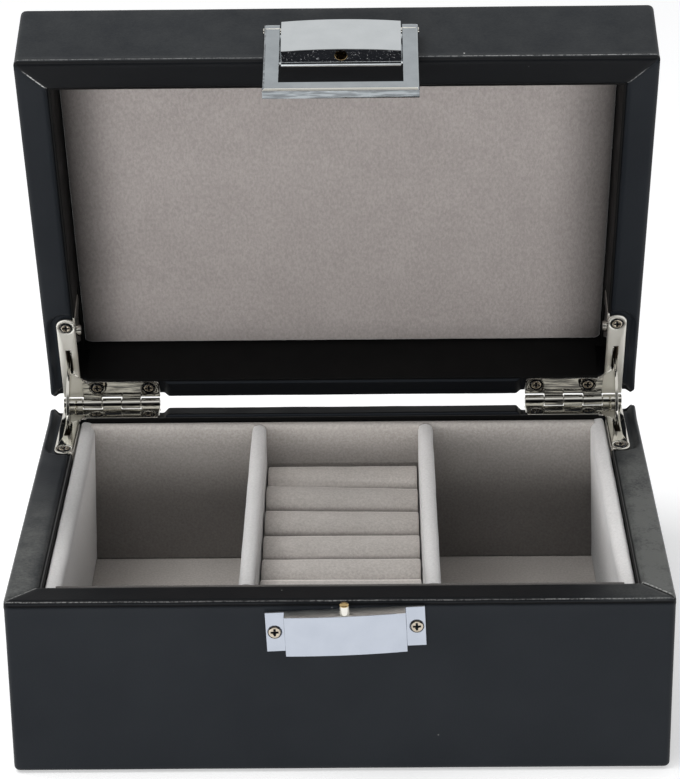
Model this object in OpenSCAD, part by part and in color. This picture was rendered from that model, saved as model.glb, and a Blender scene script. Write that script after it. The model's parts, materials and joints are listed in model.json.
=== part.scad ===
// Ring display box: a padded, leatherette covered box with a hinged lid, velvet
// compartments, a set of ring rolls, two quadrant hinges and a bail latch.
// Millimetres. Origin at the middle of the underside, front at -Y, lid drawn open.

/* [Box] */
// Overall width
box_w = 200; // [170:1:240]
// Overall depth, front to back
box_d = 142; // [124:1:180]
// Height of the base, felt to rim
base_h = 59; // [52:1:80]
// Height of the lid, rim to top
lid_h = 29; // [27:0.5:45]
// Gap between the two rims when the lid is shut
rim_gap = 1; // [0.6:0.1:1.4]
// Angle at which the lid stands open
open_angle = 70; // [0:1:95]
// Furthest the lid opens
open_limit = 95; // [90:1:98]

/* [Walls] */
// Thickness of the front and side boards
board_t = 8; // [7:0.5:9]
// Thickness of the back boards
back_board_t = 4.5; // [4:0.25:7]
// Thickness of the leatherette
leather_t = 1; // [0.8:0.1:1.4]
// Rounding of the covered edges
edge_r = 1.5; // [1:0.1:2.4]
// Rounding of the upright corners
corner_r = 2; // [1.5:0.1:4]
// Thickness of the bottom board
bottom_t = 4.5; // [3.5:0.5:8]
// Thickness of the lid's top board
top_t = 5; // [4:0.25:6]
// Thickness of the felt under the base
felt_t = 0.6; // [0.5:0.1:1.5]
// Distance from the box edge to the felt
felt_inset = 2.5; // [2:0.5:8]
// Thickness of the black card lip inside each rim
lip_t = 0.8; // [0.8:0.1:2]
// Distance from the rim down to the lip
lip_drop = 0.8; // [0.5:0.1:2]

/* [Velvet] */
// Thickness of the upright lining panels
lining_t = 3.6; // [3:0.1:6]
// Distance from the rim down to the top of the lining
lining_drop = 2; // [1:0.1:4]
// Thickness of the floor lining
floor_t = 1.4; // [1:0.1:4]
// Thickness of the dividers
divider_t = 5; // [4:0.5:8]
// Width of the middle compartment
middle_w = 51.4; // [40:0.2:70]
// Thickness of the velvet panel in the lid
lid_panel_t = 4.4; // [2:0.1:5]
// Gap round the velvet panel in the lid
lid_panel_gap = 0.2; // [0.1:0.1:1]

/* [Ring rolls] */
// Distance from the rim down to the top of the rolls
roll_drop = 14; // [8:0.5:20]
// Height of each roll
roll_h = 18; // [14:0.5:22]
// Share by which the front rolls are squeezed and the back rolls are full
roll_squeeze = 0.09; // [0:0.01:0.2]
// Gap between rolls
roll_gap = 0.2; // [0.1:0.1:0.6]
// Gap at each end of a roll
roll_end_gap = 0.6; // [0.3:0.1:2]

/* [Hinges] */
// Distance from the back of the box to the hinge pin
pin_back = 2.6; // [2.4:0.1:4]
// Thickness of the hinge leaves
leaf_t = 1; // [0.8:0.1:1.2]
// Depth of the leaf faces below the rim
leaf_sink = 0.8; // [0.6:0.1:1]
// Width of the legs of a leaf
leg_w = 6.5; // [6:0.1:7]
// Length of the back leg of a leaf
back_leg_l = 33.2; // [30:0.2:40]
// Distance from the hinge pin to the front end of the side leg
side_leg_l = 37.6; // [35:0.2:42]
// Distance from the side of the box to the leaf
leaf_inset = 4.3; // [3.8:0.1:4.6]
// Radius of the inner corner of a leaf
leaf_fillet = 2; // [1:0.5:3]
// Outer radius of the hinge knuckles
knuckle_r = 1.9; // [1.8:0.05:2.1]
// Number of knuckles along a hinge
knuckle_count = 5; // [3:2:7]
// Gap between knuckles
knuckle_gap = 0.15; // [0.1:0.05:0.3]
// Radius of the hinge pins
pin_r = 1; // [0.8:0.05:1.1]
// Running clearance round the pins
running_clear = 0.06; // [0.03:0.01:0.1]
// Width of the soft recess round a hinge leaf
recess_margin = 2.4; // [1:0.1:2.6]
// Thickness of the flange folded into the box
flange_t = 0.8; // [0.6:0.1:1]
// Depth of the flange below the leaf face
flange_depth = 10; // [8:0.5:12]
// Depth of the ear at the flange's front end
ear_depth = 15; // [12:0.5:17]
// Width of the ear
ear_w = 6; // [4:0.5:8]
// Gap between the flange and the back wall
flange_back_gap = 0.3; // [0.2:0.05:1]
// Gap between the flanges and the card lip
flange_gap = 1; // [0.5:0.1:2]
// Gap between the flanges and the lining they stand behind
flange_lining_gap = 0.1; // [0.05:0.05:0.3]
// Gap between a leaf's plate and the other leaf's knuckles
knuckle_clear = 0.3; // [0.2:0.05:0.5]

/* [Stays] */
// Thickness of the curved stays
stay_t = 1; // [0.8:0.1:1.2]
// Inner radius of a stay
stay_r = 13.5; // [12:0.5:14]
// Width of a stay across its curve
stay_w = 5; // [4:0.5:5.5]
// Free length of the slot past the stay
slot_play = 5; // [4:0.5:6]
// How far a hook catches under the leaf past the slot
hook_catch = 1.3; // [0.8:0.1:1.6]
// Side clearance of a stay in its slot
stay_side_clear = 0.4; // [0.3:0.1:0.5]
// Inner end clearance of a stay in its slot
stay_end_clear = 0.8; // [0.4:0.1:1]
// Clearance left all round in the routed pockets
pocket_clear = 0.6; // [0.5:0.1:1]
// Angle that a hook takes up at each end of a stay
hook_angle = 3; // [2:0.5:4]
// Gap between a hook and the leaf when the lid is open as far as it goes
hook_clear = 0.1; // [0.05:0.05:0.3]

/* [Screws] */
// Head radius of the hinge screws
screw_head_r = 2.05; // [1.8:0.05:2.2]
// Shank radius of the screws
screw_r = 1; // [0.8:0.05:1.1]
// Length of the screws
screw_l = 9; // [6:0.5:12]
// Clearance round the screws in the leaves and plates
hole_clear = 0.1; // [0.05:0.05:0.3]
// Height of the domed heads
dome_h = 0.35; // [0.2:0.05:0.5]
// Share of a head's width that is flat on top
head_flat = 0.8; // [0.6:0.05:0.9]
// Length of the cross slots
cross_l = 2.25; // [1.8:0.05:2.6]
// Width of the cross slots
cross_w = 0.5; // [0.3:0.05:0.6]
// Depth of the cross slots
cross_depth = 0.6; // [0.5:0.05:0.8]
// Distance of the side screw behind the middle of the side leg's round end
side_screw_in = 0.7; // [0:0.1:1.2]
// Distance of the middle screw from the leaf's outer edge
mid_screw_in = 11.7; // [11:0.1:14]
// Distance of the inner screw from the back leg's end
end_screw_in = 3.8; // [3.4:0.1:6]
// Radius of the dished sink round a hinge screw
dish_r = 2.9; // [2.4:0.1:3]
// Depth of the dished sink
dish_depth = 0.3; // [0.1:0.05:0.4]
// Head radius of the rivet in the lid flange
rivet_head_r = 2; // [1.5:0.1:2.2]
// Height of the rivet's head
rivet_head_h = 0.8; // [0.5:0.1:1]
// Shank radius of the rivet
rivet_r = 1; // [0.8:0.05:1.2]
// Distance of the rivet behind the ear
rivet_in = 5.5; // [3:0.5:8]
// Distance of the rivet from the flange's edge
rivet_edge = 2.5; // [2.2:0.1:4]

/* [Latch] */
// Distance of the latch to the right of the middle of the front
latch_x = 1.5; // [-10:0.5:10]
// Width of the latch body
body_w = 37; // [30:0.5:44]
// How much narrower the keeper block is than the latch body
keeper_narrow = 0.8; // [0.7:0.1:2]
// Width of the screw wings
wing_w = 5.3; // [5:0.1:7]
// Thickness of the latch plates
plate_t = 1; // [0.8:0.1:1.2]
// Height of the latch body
body_h = 14.3; // [13:0.1:18]
// How far the latch body stands out in its middle
body_out = 6.8; // [6.6:0.1:8]
// Radius of the bowed faces
bow_r = 210; // [160:5:400]
// How far the latch body hangs below the lid rim
body_hang = 1.7; // [1.4:0.1:2]
// How far the plate shows below the latch body
plate_drop = 1; // [0.5:0.1:1.5]
// Depth of the latch screws' heads below the plate's face
latch_screw_sink = 0.25; // [0.2:0.05:0.35]
// Height of the keeper
keeper_h = 13; // [12:0.5:16]
// How far the keeper block stands out in its middle
keeper_out = 5.4; // [5.2:0.1:6]
// Gap between the latch body and the keeper when shut
keeper_gap = 2.1; // [2:0.1:3]
// Tilt at which the keeper is screwed on
keeper_tilt = 2.3; // [0:0.1:2.5]
// Radius of the keeper pin
keeper_pin_r = 1.5; // [1.2:0.1:1.8]
// Height of the keeper pin above the block
keeper_pin_h = 3.9; // [3.6:0.1:4.4]
// Distance of the keeper pin from the front of the box
keeper_pin_out = 3.6; // [3.2:0.1:3.8]
// Depth to which the keeper pin is set in the keeper
keeper_pin_seat = 3; // [2:0.5:5]
// Clearance round the keeper pin in the latch body
keeper_pin_clear = 0.3; // [0.3:0.01:0.36]
// Distance of the pin hole's floor past the pin when shut
pin_hole_spare = 2; // [1:0.5:4]
// Width of the arms of the bail
arm_w = 4.9; // [4:0.1:5.5]
// Height of the lower bar of the bail
bar_h = 4; // [3:0.1:6]
// Thickness of the bail
bail_t = 3.4; // [3:0.1:3.6]
// Radius of the eyes at the tops of the arms
eye_r = 2; // [1.8:0.05:2]
// Width of the bevel round the bail
bail_bevel = 0.6; // [0.3:0.1:0.9]
// Side gap between the bail and the latch body
bail_side_gap = 0.4; // [0.3:0.1:0.5]
// Gap between the lower bar and the keeper when shut
catch_gap = 0.35; // [0.2:0.05:1]
// Radius of the bail pivots
pivot_r = 1; // [0.8:0.05:1.1]
// Depth to which the pivots are set in the latch body
pivot_depth = 3; // [2:0.5:5]
// How far the pivots stand out of the bail
pivot_proud = 0.3; // [0.1:0.1:0.5]
// Distance of the bail pivot below the top of the latch body
pivot_drop = 1.2; // [1.1:0.1:3]
// Distance of the bail pivot from the lid
pivot_out = 3.1; // [3.1:0.1:3.5]
// Angle at which the bail rests, outward from the lid
bail_lean = 2; // [2:0.5:20]
// Height of the sloping lower part of the latch body's front
slope_h = 5.5; // [4:0.1:7]
// Angle of that slope
slope_angle = 9.4; // [5:0.2:10]
// Width of the bevel at the latch body's lower edge
body_bevel = 0.4; // [0.2:0.1:0.5]

/* [Hidden] */
$fn = 48;

// Overlap of joined shapes, and how far a cut runs past what it cuts
tiny = 0.01;
spare = 1;
left = -1;
right = 1;
below = -1;
above = 1;

// Walls
wall_t = board_t + 2 * leather_t;
back_wall_t = back_board_t + 2 * leather_t;
board_ts = [board_t, board_t, back_board_t, board_t];
inner_w = box_w - 2 * wall_t;
inner_d = box_d - wall_t - back_wall_t;
inner_y = (wall_t - back_wall_t) / 2;
bottom_z = felt_t;
bottom_top_z = bottom_z + bottom_t;
lid_z = base_h + rim_gap;
lid_top_z = lid_z + lid_h;
lid_board_top_z = lid_top_z - leather_t - top_t;
lid_panel_z = lid_board_top_z - lid_panel_t;

// Velvet
lined_w = inner_w - 2 * lip_t;
lined_d = inner_d - 2 * lip_t;
floor_z = bottom_top_z + floor_t;
lining_z = base_h - lining_drop;
cell_d = lined_d - 2 * lining_t;
roll_count = 7;
divider_x = middle_w / 2 + divider_t / 2;
roll_top_z = base_h - roll_drop;
roll_z = roll_top_z - roll_h;
roll_pitch = cell_d / roll_count;

// Hinges
axis_y = box_d / 2 + pin_back;
axis_z = base_h + rim_gap / 2;
leaf_face = rim_gap / 2 + leaf_sink;
leaf_back = leaf_face + leaf_t;
leaf_x = box_w / 2 - leaf_inset;
leg_mid_x = leaf_x - leg_w / 2;
leg_end_y = -side_leg_l + leg_w / 2;
back_leg_y = -pin_back - leg_w;
knuckle_l = back_leg_l / knuckle_count;
recess_depth = leaf_back - rim_gap / 2;
leaf_screw_y = -pin_back - leg_w / 2;
side_screw_y = leg_end_y + side_screw_in;
leg_front_y = leg_end_y - leg_w / 2;
plate_edge_y = -sqrt(pow(knuckle_r, 2) - pow(leaf_face, 2)) - knuckle_clear;
flange_back_y = -pin_back - back_wall_t - flange_back_gap;
ear_back_y = leg_front_y + ear_w;
rivet_y = ear_back_y + rivet_in;
rivet_depth = flange_depth - rivet_edge;

// Stays
slot_in = stay_r - stay_end_clear;
slot_out = stay_r + stay_w + slot_play;
slot_w = stay_t + 2 * stay_side_clear;
hook_r = slot_out + hook_catch;
hook_clear_angle = asin((leaf_back + hook_clear) / slot_out);
stay_half = open_limit / 2 + hook_clear_angle + hook_angle;
pocket_in = stay_r * cos(stay_half) - pocket_clear;
pocket_out = hook_r + pocket_clear;
pocket_depth = hook_r * sin(stay_half) + pocket_clear;

// Latch
latch_y = -box_d / 2;
plate_w = body_w + 2 * wing_w;
body_z = lid_z - body_hang;
keeper_top_z = body_z - keeper_gap;
keeper_z = keeper_top_z - keeper_h / 2;
wing_screw_x = body_w / 2 + wing_w / 2;
pivot_z = body_z + body_h - pivot_drop;
keeper_tip_r = 1.15 * keeper_pin_r;
keeper_low_z = keeper_z - keeper_h / 2 * cos(keeper_tilt) - body_w / 2 * sin(keeper_tilt);
window_l = norm([pivot_z - keeper_low_z, keeper_out - pivot_out]) + catch_gap;
bail_l = window_l + bar_h;
bail_w = body_w + 2 * (bail_side_gap + arm_w);

leather = [0.15, 0.16, 0.18];
lip_black = [0.08, 0.08, 0.08];
fibreboard = [0.62, 0.5, 0.36];
velvet = [0.68, 0.66, 0.64];
pale_velvet = [0.76, 0.75, 0.73];
felt = [0.12, 0.12, 0.12];
nickel = [0.76, 0.74, 0.69];
chrome = [0.8, 0.82, 0.85];

// ---------- places ----------

// Turns what is drawn for a shut lid to where the lid stands open
module lid_pose() {
    translate([0, axis_y, axis_z]) rotate([-open_angle, 0, 0]) translate([0, -axis_y, -axis_z]) children();
}

// Carries what is drawn round the bail pivot, hanging down, to the shut lid
module bail_pose() {
    translate([latch_x, latch_y - pivot_out, pivot_z]) rotate([-bail_lean, 0, 0]) children();
}

// Moves what is drawn round the hinge pin, right hand, below the pin, to one of the four places
module hinge_place(side, level) {
    translate([0, axis_y, axis_z]) mirrored(side, level) children();
}

// Mirrors what is drawn at the right and below to the other side or above
module mirrored(side, level) {
    mirror([side == left ? 1 : 0, 0, 0]) mirror([0, 0, level == above ? 1 : 0]) children();
}

// Turns a front wall to another side: 0 front, 1 right, 2 back, 3 left
module to_side(k) {
    rotate([0, 0, 90 * k]) children();
}

// ---------- covered walls ----------

// Rectangle with its corners rounded
module rounded_rect(w, h, r) {
    union() {
        translate([-w / 2, -h / 2 + r]) square([w, h - 2 * r]);
        translate([-w / 2 + r, -h / 2]) square([w - 2 * r, h]);
        for (x = [-1, 1], y = [-1, 1]) translate([x * (w / 2 - r), y * (h / 2 - r)]) circle(r);
    }
}

// Upright prism with rounded corners, the outline of the whole box
module box_prism(z0, z1) {
    translate([0, 0, z0]) linear_extrude(z1 - z0) rounded_rect(box_w, box_d, corner_r);
}

// Outside of the base or the lid, rounded along every edge
module outside(z0, z1) {
    intersection() {
        box_prism(z0, z1);
        translate([-box_w / 2, 0, (z0 + z1) / 2]) rotate([90, 0, 90]) linear_extrude(box_w)
            rounded_rect(box_d, z1 - z0, edge_r);
        translate([0, box_d / 2, (z0 + z1) / 2]) rotate([90, 0, 0]) linear_extrude(box_d)
            rounded_rect(box_w, z1 - z0, edge_r);
    }
}

// Section of a hollow w wide, flared by r at the rim where its upper edges are rounded
module hollow_section(w, z0, rim_z, r) {
    translate([-w / 2, z0]) square([w, rim_z + r - z0]);
    for (side = [0, 1]) mirror([side, 0]) translate([w / 2, rim_z - r]) difference() {
        translate([-tiny, 0]) square([r + tiny, 2 * r]);
        translate([r, 0]) circle(r);
    }
}

// Hollow inside the walls, w by d, from z0 up to a rim with rounded inner edges
module hollow(w, d, z0, rim_z, r) {
    translate([0, inner_y, 0]) intersection() {
        translate([0, box_d / 2, 0]) rotate([90, 0, 0]) linear_extrude(box_d)
            hollow_section(w, z0, rim_z, r);
        translate([-box_w / 2, 0, 0]) rotate([90, 0, 90]) linear_extrude(box_w)
            hollow_section(d, z0, rim_z, r);
    }
}

// Plan of a wall on the front side of a w by d ring, mitred to walls of t0 at its left and t1 at its right
module mitred_plan(w, d, t, t0, t1) {
    polygon([[-w / 2, -d / 2], [w / 2, -d / 2], [w / 2 - t1, -d / 2 + t], [-w / 2 + t0, -d / 2 + t]]);
}

// Board inside the leatherette of wall k, mitred to its neighbours
module wall_board(k, z0, z1) {
    w = box_w - 2 * leather_t;
    d = box_d - 2 * leather_t;
    t0 = board_ts[(k + 3) % 4];
    t1 = board_ts[(k + 1) % 4];
    to_side(k) translate([0, 0, z0]) linear_extrude(z1 - z0)
        mitred_plan(k % 2 == 0 ? w : d, k % 2 == 0 ? d : w, board_ts[k], t0, t1);
}

// Card lip against the inside of the walls, with the opening's edge rounded at z1
module lip_ring(z0, z1) {
    difference() {
        translate([-inner_w / 2, inner_y - inner_d / 2, z0]) cube([inner_w, inner_d, z1 - z0]);
        hollow(lined_w, lined_d, z0 - spare, z1, lip_t / 2);
    }
}

// ---------- hinge cuts ----------

// Outline of a leaf seen from above, right hand, pin along y = 0, grown all round by g
module leaf_outline(g) {
    union() {
        translate([leg_mid_x, leg_end_y]) circle(leg_w / 2 + g);
        translate([leg_mid_x - leg_w / 2 - g, leg_end_y]) square([leg_w + 2 * g, -leg_end_y]);
        translate([leaf_x - back_leg_l - g, back_leg_y - g + leaf_fillet])
            square([back_leg_l + g, -back_leg_y + g - leaf_fillet]);
        translate([leaf_x - back_leg_l - g + leaf_fillet, back_leg_y - g])
            square([back_leg_l + 2 * g - leaf_fillet, leaf_fillet + tiny]);
        translate([leaf_x - back_leg_l - g + leaf_fillet, back_leg_y - g + leaf_fillet]) circle(leaf_fillet);
    }
}

// Recess for a leaf, cut into a rim that lies below the pin
module recess_cut(g, depth) {
    translate([0, 0, -rim_gap / 2 - depth]) linear_extrude(depth + spare) leaf_outline(g);
}

// Recess carried on over the back edge of the rim
module recess_run_out(g, depth) {
    translate([leaf_x - back_leg_l - g, -pin_back - 2 * edge_r, -rim_gap / 2 - depth])
        cube([back_leg_l + 2 * g, pin_back + 2 * edge_r, depth + spare]);
}

// Routed pocket in which a stay moves
module stay_pocket() {
    translate([leg_mid_x - slot_w / 2, -pocket_out, -pocket_depth])
        cube([slot_w, pocket_out - pocket_in, pocket_depth + spare]);
}

function leaf_screw_places() = [
    [leg_mid_x, side_screw_y],
    [leaf_x - mid_screw_in, leaf_screw_y],
    [leaf_x - back_leg_l + end_screw_in, leaf_screw_y]
];

// Pilot holes of the leaf screws
module pilot_holes() {
    for (p = leaf_screw_places()) translate([p[0], p[1], -leaf_face - dish_depth - screw_l])
        cylinder(r = screw_r, h = screw_l);
}

// Recesses of both leaves on one level, larger by g in the boards under the leatherette
module leaf_recesses(level, g) {
    for (side = [left, right]) hinge_place(side, level) {
        recess_cut(recess_margin + g, recess_depth + g);
        recess_run_out(recess_margin + g, recess_depth + g);
    }
}

// All that is cut for both hinges on one level
module hinge_cuts(level, g) {
    leaf_recesses(level, g);
    for (side = [left, right]) hinge_place(side, level) {
        stay_pocket();
        pilot_holes();
    }
}

// Room for the flanges, cut from what stands against the walls, starting "inward" of the flanges
module flange_notch(level, inward) {
    x = leaf_x - leg_w - inward;
    depth = leaf_face + ear_depth + flange_gap;
    for (side = [left, right]) hinge_place(side, level) translate([x, -side_leg_l - flange_gap, -depth])
        cube([box_w / 2 - wall_t + tiny - x, side_leg_l, depth + spare]);
}

// ---------- base ----------

// Pilot holes of a plate's two screws, whose heads are sunk in its face
module wing_pilots(sink) {
    wing_pair() translate([0, 0, -sink - screw_l]) cylinder(r = screw_r, h = screw_l);
}

module base_cover() {
    color(leather) difference() {
        outside(bottom_z, base_h);
        hollow(inner_w, inner_d, bottom_z - spare, base_h, edge_r);
        difference() {
            for (k = [0:3]) wall_board(k, bottom_z + leather_t, base_h - leather_t);
            leaf_recesses(below, leather_t);
        }
        hinge_cuts(below, 0);
        keeper_place() wing_pilots(0);
    }
}

module base_board(k) {
    color(fibreboard) difference() {
        wall_board(k, bottom_z + leather_t, base_h - leather_t);
        hinge_cuts(below, leather_t);
        keeper_place() wing_pilots(0);
    }
}

module base_front_board() { base_board(0); }
module base_right_board() { base_board(1); }
module base_back_board() { base_board(2); }
module base_left_board() { base_board(3); }

module bottom_board() {
    color(fibreboard) translate([-inner_w / 2, inner_y - inner_d / 2, bottom_z])
        cube([inner_w, inner_d, bottom_t]);
}

module bottom_felt() {
    color(felt) linear_extrude(felt_t) rounded_rect(box_w - 2 * felt_inset, box_d - 2 * felt_inset, corner_r);
}

module base_lip() {
    color(lip_black) difference() {
        lip_ring(bottom_top_z, base_h - lip_drop);
        flange_notch(below, leaf_fillet);
    }
}

// ---------- velvet ----------

module floor_lining() {
    color(velvet) translate([-lined_w / 2, inner_y - lined_d / 2, bottom_top_z])
        cube([lined_w, lined_d, floor_t]);
}

// Upright panel, t thick and round on top, running along X through the middle of its thickness
module panel(length, t, z0, z1) {
    translate([-length / 2, 0, 0]) rotate([90, 0, 90]) linear_extrude(length) union() {
        translate([-t / 2, z0]) square([t, z1 - t / 2 - z0]);
        translate([0, z1 - t / 2]) intersection() {
            circle(t / 2);
            translate([-t / 2, -tiny]) square([t, t]);
        }
    }
}

module side_lining(side) {
    color(pale_velvet) difference() {
        translate([side * (lined_w / 2 - lining_t / 2), inner_y, 0]) rotate([0, 0, 90])
            panel(lined_d, lining_t, floor_z, lining_z);
        flange_notch(below, flange_lining_gap);
    }
}

module end_lining(end) {
    color(velvet) translate([0, inner_y + end * (lined_d / 2 - lining_t / 2), 0])
        panel(lined_w - 2 * lining_t, lining_t, floor_z, lining_z);
}

module front_lining() { end_lining(-1); }
module back_lining() { end_lining(1); }
module left_lining() { side_lining(left); }
module right_lining() { side_lining(right); }

module divider(side) {
    color(pale_velvet) translate([side * divider_x, inner_y, 0]) rotate([0, 0, 90])
        panel(cell_d, divider_t, floor_z, lining_z);
}

module left_divider() { divider(left); }
module right_divider() { divider(right); }

module roll_bed() {
    color(velvet) translate([-middle_w / 2, inner_y - cell_d / 2, floor_z])
        cube([middle_w, cell_d, roll_z - floor_z]);
}

// Width of roll i, counted from the back, and the place of its middle
function roll_w(i) = roll_pitch * (1 + roll_squeeze * (1 - 2 * i / (roll_count - 1)));
function roll_sum(i) = i == 0 ? 0 : roll_w(i - 1) + roll_sum(i - 1);
function roll_y(i) = inner_y + cell_d / 2 - roll_sum(i) - roll_w(i) / 2;

module ring_roll(i) {
    color(velvet) translate([0, roll_y(i), 0])
        panel(middle_w - 2 * roll_end_gap, roll_w(i) - roll_gap, roll_z, roll_top_z);
}

// ---------- lid, drawn shut ----------

module top_board_solid() {
    translate([-box_w / 2 + leather_t, -box_d / 2 + leather_t, lid_board_top_z])
        cube([box_w - 2 * leather_t, box_d - 2 * leather_t, top_t]);
}

module lid_cover() {
    color(leather) lid_pose() difference() {
        outside(lid_z, lid_top_z);
        translate([0, 0, lid_z]) mirror([0, 0, 1])
            hollow(inner_w, inner_d, lid_z - lid_board_top_z, 0, edge_r);
        difference() {
            for (k = [0:3]) wall_board(k, lid_z + leather_t, lid_board_top_z);
            leaf_recesses(above, leather_t);
        }
        top_board_solid();
        hinge_cuts(above, 0);
        latch_place() wing_pilots(latch_screw_sink);
    }
}

module lid_board(k) {
    color(fibreboard) lid_pose() difference() {
        wall_board(k, lid_z + leather_t, lid_board_top_z);
        hinge_cuts(above, leather_t);
        latch_place() wing_pilots(latch_screw_sink);
    }
}

module lid_front_board() { lid_board(0); }
module lid_right_board() { lid_board(1); }
module lid_back_board() { lid_board(2); }
module lid_left_board() { lid_board(3); }

module lid_top_board() {
    color(fibreboard) lid_pose() top_board_solid();
}

module lid_lip() {
    color(lip_black) lid_pose() difference() {
        translate([0, 0, lid_z]) mirror([0, 0, 1]) lip_ring(lid_z - lid_board_top_z, -lip_drop);
        flange_notch(above, leaf_fillet);
    }
}

module lid_panel() {
    w = lined_w - 2 * lid_panel_gap;
    d = lined_d - 2 * lid_panel_gap;
    color(velvet) lid_pose() translate([-w / 2, inner_y - d / 2, lid_panel_z]) cube([w, d, lid_panel_t]);
}

// ---------- hinges ----------

// Knuckles of one leaf, from knuckle "first", every second one
module knuckles(first, r, gap) {
    for (i = [first:2:knuckle_count - 1])
        translate([leaf_x - (i + 1) * knuckle_l + gap / 2, 0, 0]) rotate([0, 90, 0])
            cylinder(r = r, h = knuckle_l - gap);
}

// Web between the plate and one of its own knuckles
module knuckle_webs(first) {
    for (i = [first:2:knuckle_count - 1])
        translate([leaf_x - (i + 1) * knuckle_l + knuckle_gap / 2, -pin_back, -leaf_back])
            cube([knuckle_l - knuckle_gap, pin_back, leaf_t]);
}

// Outline of the flange seen from the side: a strip with a deeper, rounded ear at its front end
module flange_outline() {
    union() {
        translate([leg_end_y, -leaf_face - flange_depth]) square([flange_back_y - leg_end_y, flange_depth]);
        translate([leg_front_y, -leaf_face - ear_depth + ear_w / 2])
            square([ear_w, ear_depth - ear_w / 2 - leaf_t]);
        translate([leg_front_y + ear_w / 2, -leaf_face - ear_depth + ear_w / 2]) circle(ear_w / 2);
    }
}

// Countersunk hole in a plate whose face is at z = 0, below a sink that widens to top_r
module sunk_hole(t, sink, top_r) {
    head_r = screw_head_r + hole_clear;
    translate([0, 0, -t - tiny]) cylinder(r1 = screw_r + hole_clear, r2 = head_r, h = t + tiny - sink);
    translate([0, 0, -sink - tiny]) cylinder(r1 = head_r, r2 = top_r, h = sink + 2 * tiny);
}

// Hinge leaf, right hand, lying below the pin. Its knuckles are every second one from "first".
module leaf(first) {
    difference() {
        union() {
            translate([0, 0, -leaf_back]) linear_extrude(leaf_t) difference() {
                leaf_outline(0);
                translate([0, plate_edge_y]) square([box_w, box_w]);
            }
            translate([0, 0, -leaf_back]) linear_extrude(leaf_t) corner_fillet();
            knuckle_webs(first);
            knuckles(first, knuckle_r, knuckle_gap);
            translate([leaf_x - leg_w, 0, 0]) rotate([90, 0, 90]) linear_extrude(flange_t) flange_outline();
        }
        knuckles(first, pin_r + running_clear, -knuckle_gap);
        translate([leg_mid_x - slot_w / 2, -slot_out, -leaf_back - spare])
            cube([slot_w, slot_out - slot_in, leaf_t + 2 * spare]);
        for (p = leaf_screw_places()) translate([p[0], p[1], -leaf_face])
            sunk_hole(leaf_t, dish_depth, dish_r);
        if (first == 1) rivet_place() translate([0, 0, -tiny]) cylinder(r = rivet_r, h = flange_t + 2 * tiny);
    }
}

// Middle of the rivet on the inner face of the flange, z pointing into the wall
module rivet_place() {
    translate([leaf_x - leg_w, rivet_y, -leaf_face - rivet_depth]) rotate([0, 90, 0]) children();
}

// Rounded inner corner between the two legs
module corner_fillet() {
    translate([leaf_x - leg_w, back_leg_y]) difference() {
        translate([-leaf_fillet, -leaf_fillet]) square(leaf_fillet + tiny);
        translate([-leaf_fillet, -leaf_fillet]) circle(leaf_fillet);
    }
}

module base_leaf(side) {
    color(nickel) hinge_place(side, below) leaf(0);
}

module lid_leaf(side) {
    color(nickel) lid_pose() hinge_place(side, above) leaf(1);
}

module base_leaf_left() { base_leaf(left); }
module base_leaf_right() { base_leaf(right); }
module lid_leaf_left() { lid_leaf(left); }
module lid_leaf_right() { lid_leaf(right); }

module hinge_pin(side) {
    color(nickel) hinge_place(side, below) translate([leaf_x - back_leg_l, 0, 0]) rotate([0, 90, 0])
        cylinder(r = pin_r, h = back_leg_l);
}

module hinge_pin_left() { hinge_pin(left); }
module hinge_pin_right() { hinge_pin(right); }

// Sector of a disc between two angles, measured from the front of the pin upwards
module sector(from, to, r) {
    step = 15;
    corner_d = r / cos(step / 2);
    n = ceil((to - from) / step);
    polygon(concat([[0, 0]], [for (i = [0:n]) let (a = from + (to - from) * i / n)
        [-corner_d * cos(a), corner_d * sin(a)]]));
}

// Part of a ring between two radii and two angles
module arc_strip(r0, r1, from, to) {
    intersection() {
        difference() {
            circle(r1);
            circle(r0);
        }
        sector(from, to, r1);
    }
}

// Curved stay, centred on the hinge pin, with a hook at each end
module stay_shape(middle) {
    arc_strip(stay_r, stay_r + stay_w, middle - stay_half, middle + stay_half);
    arc_strip(stay_r, hook_r, middle - stay_half, middle - stay_half + hook_angle);
    arc_strip(stay_r, hook_r, middle + stay_half - hook_angle, middle + stay_half);
}

module stay(side) {
    color(nickel) hinge_place(side, below) translate([leg_mid_x - stay_t / 2, 0, 0]) rotate([90, 0, 90])
        linear_extrude(stay_t) stay_shape(open_angle / 2);
}

module stay_left() { stay(left); }
module stay_right() { stay(right); }

// ---------- screws ----------

// Countersunk screw with a low domed head and a cross slot, head up, its cone sunk below z = 0
module screw(sunk) {
    difference() {
        union() {
            translate([0, 0, -screw_l]) cylinder(r = screw_r, h = screw_l - sunk + tiny);
            translate([0, 0, -sunk]) cylinder(r1 = screw_r, r2 = screw_head_r, h = sunk);
            cylinder(r1 = screw_head_r, r2 = screw_head_r * head_flat, h = dome_h);
        }
        for (a = [0, 90]) rotate([0, 0, a]) translate([-cross_l / 2, -cross_w / 2, dome_h - cross_depth])
            cube([cross_l, cross_w, cross_depth + spare]);
    }
}

module leaf_screws(level) {
    color(nickel) for (side = [left, right]) hinge_place(side, level)
        for (p = leaf_screw_places()) translate([p[0], p[1], -leaf_face - dish_depth])
            screw(leaf_t - dish_depth);
}

module base_hinge_screws() { leaf_screws(below); }
module lid_hinge_screws() { lid_pose() leaf_screws(above); }

module flange_rivets() {
    color(nickel) lid_pose() for (side = [left, right]) hinge_place(side, above) rivet_place() {
        cylinder(r = rivet_r, h = flange_t);
        translate([0, 0, -rivet_head_h])
            cylinder(r1 = rivet_head_r * head_flat, r2 = rivet_head_r, h = rivet_head_h);
    }
}

// ---------- latch ----------

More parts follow.
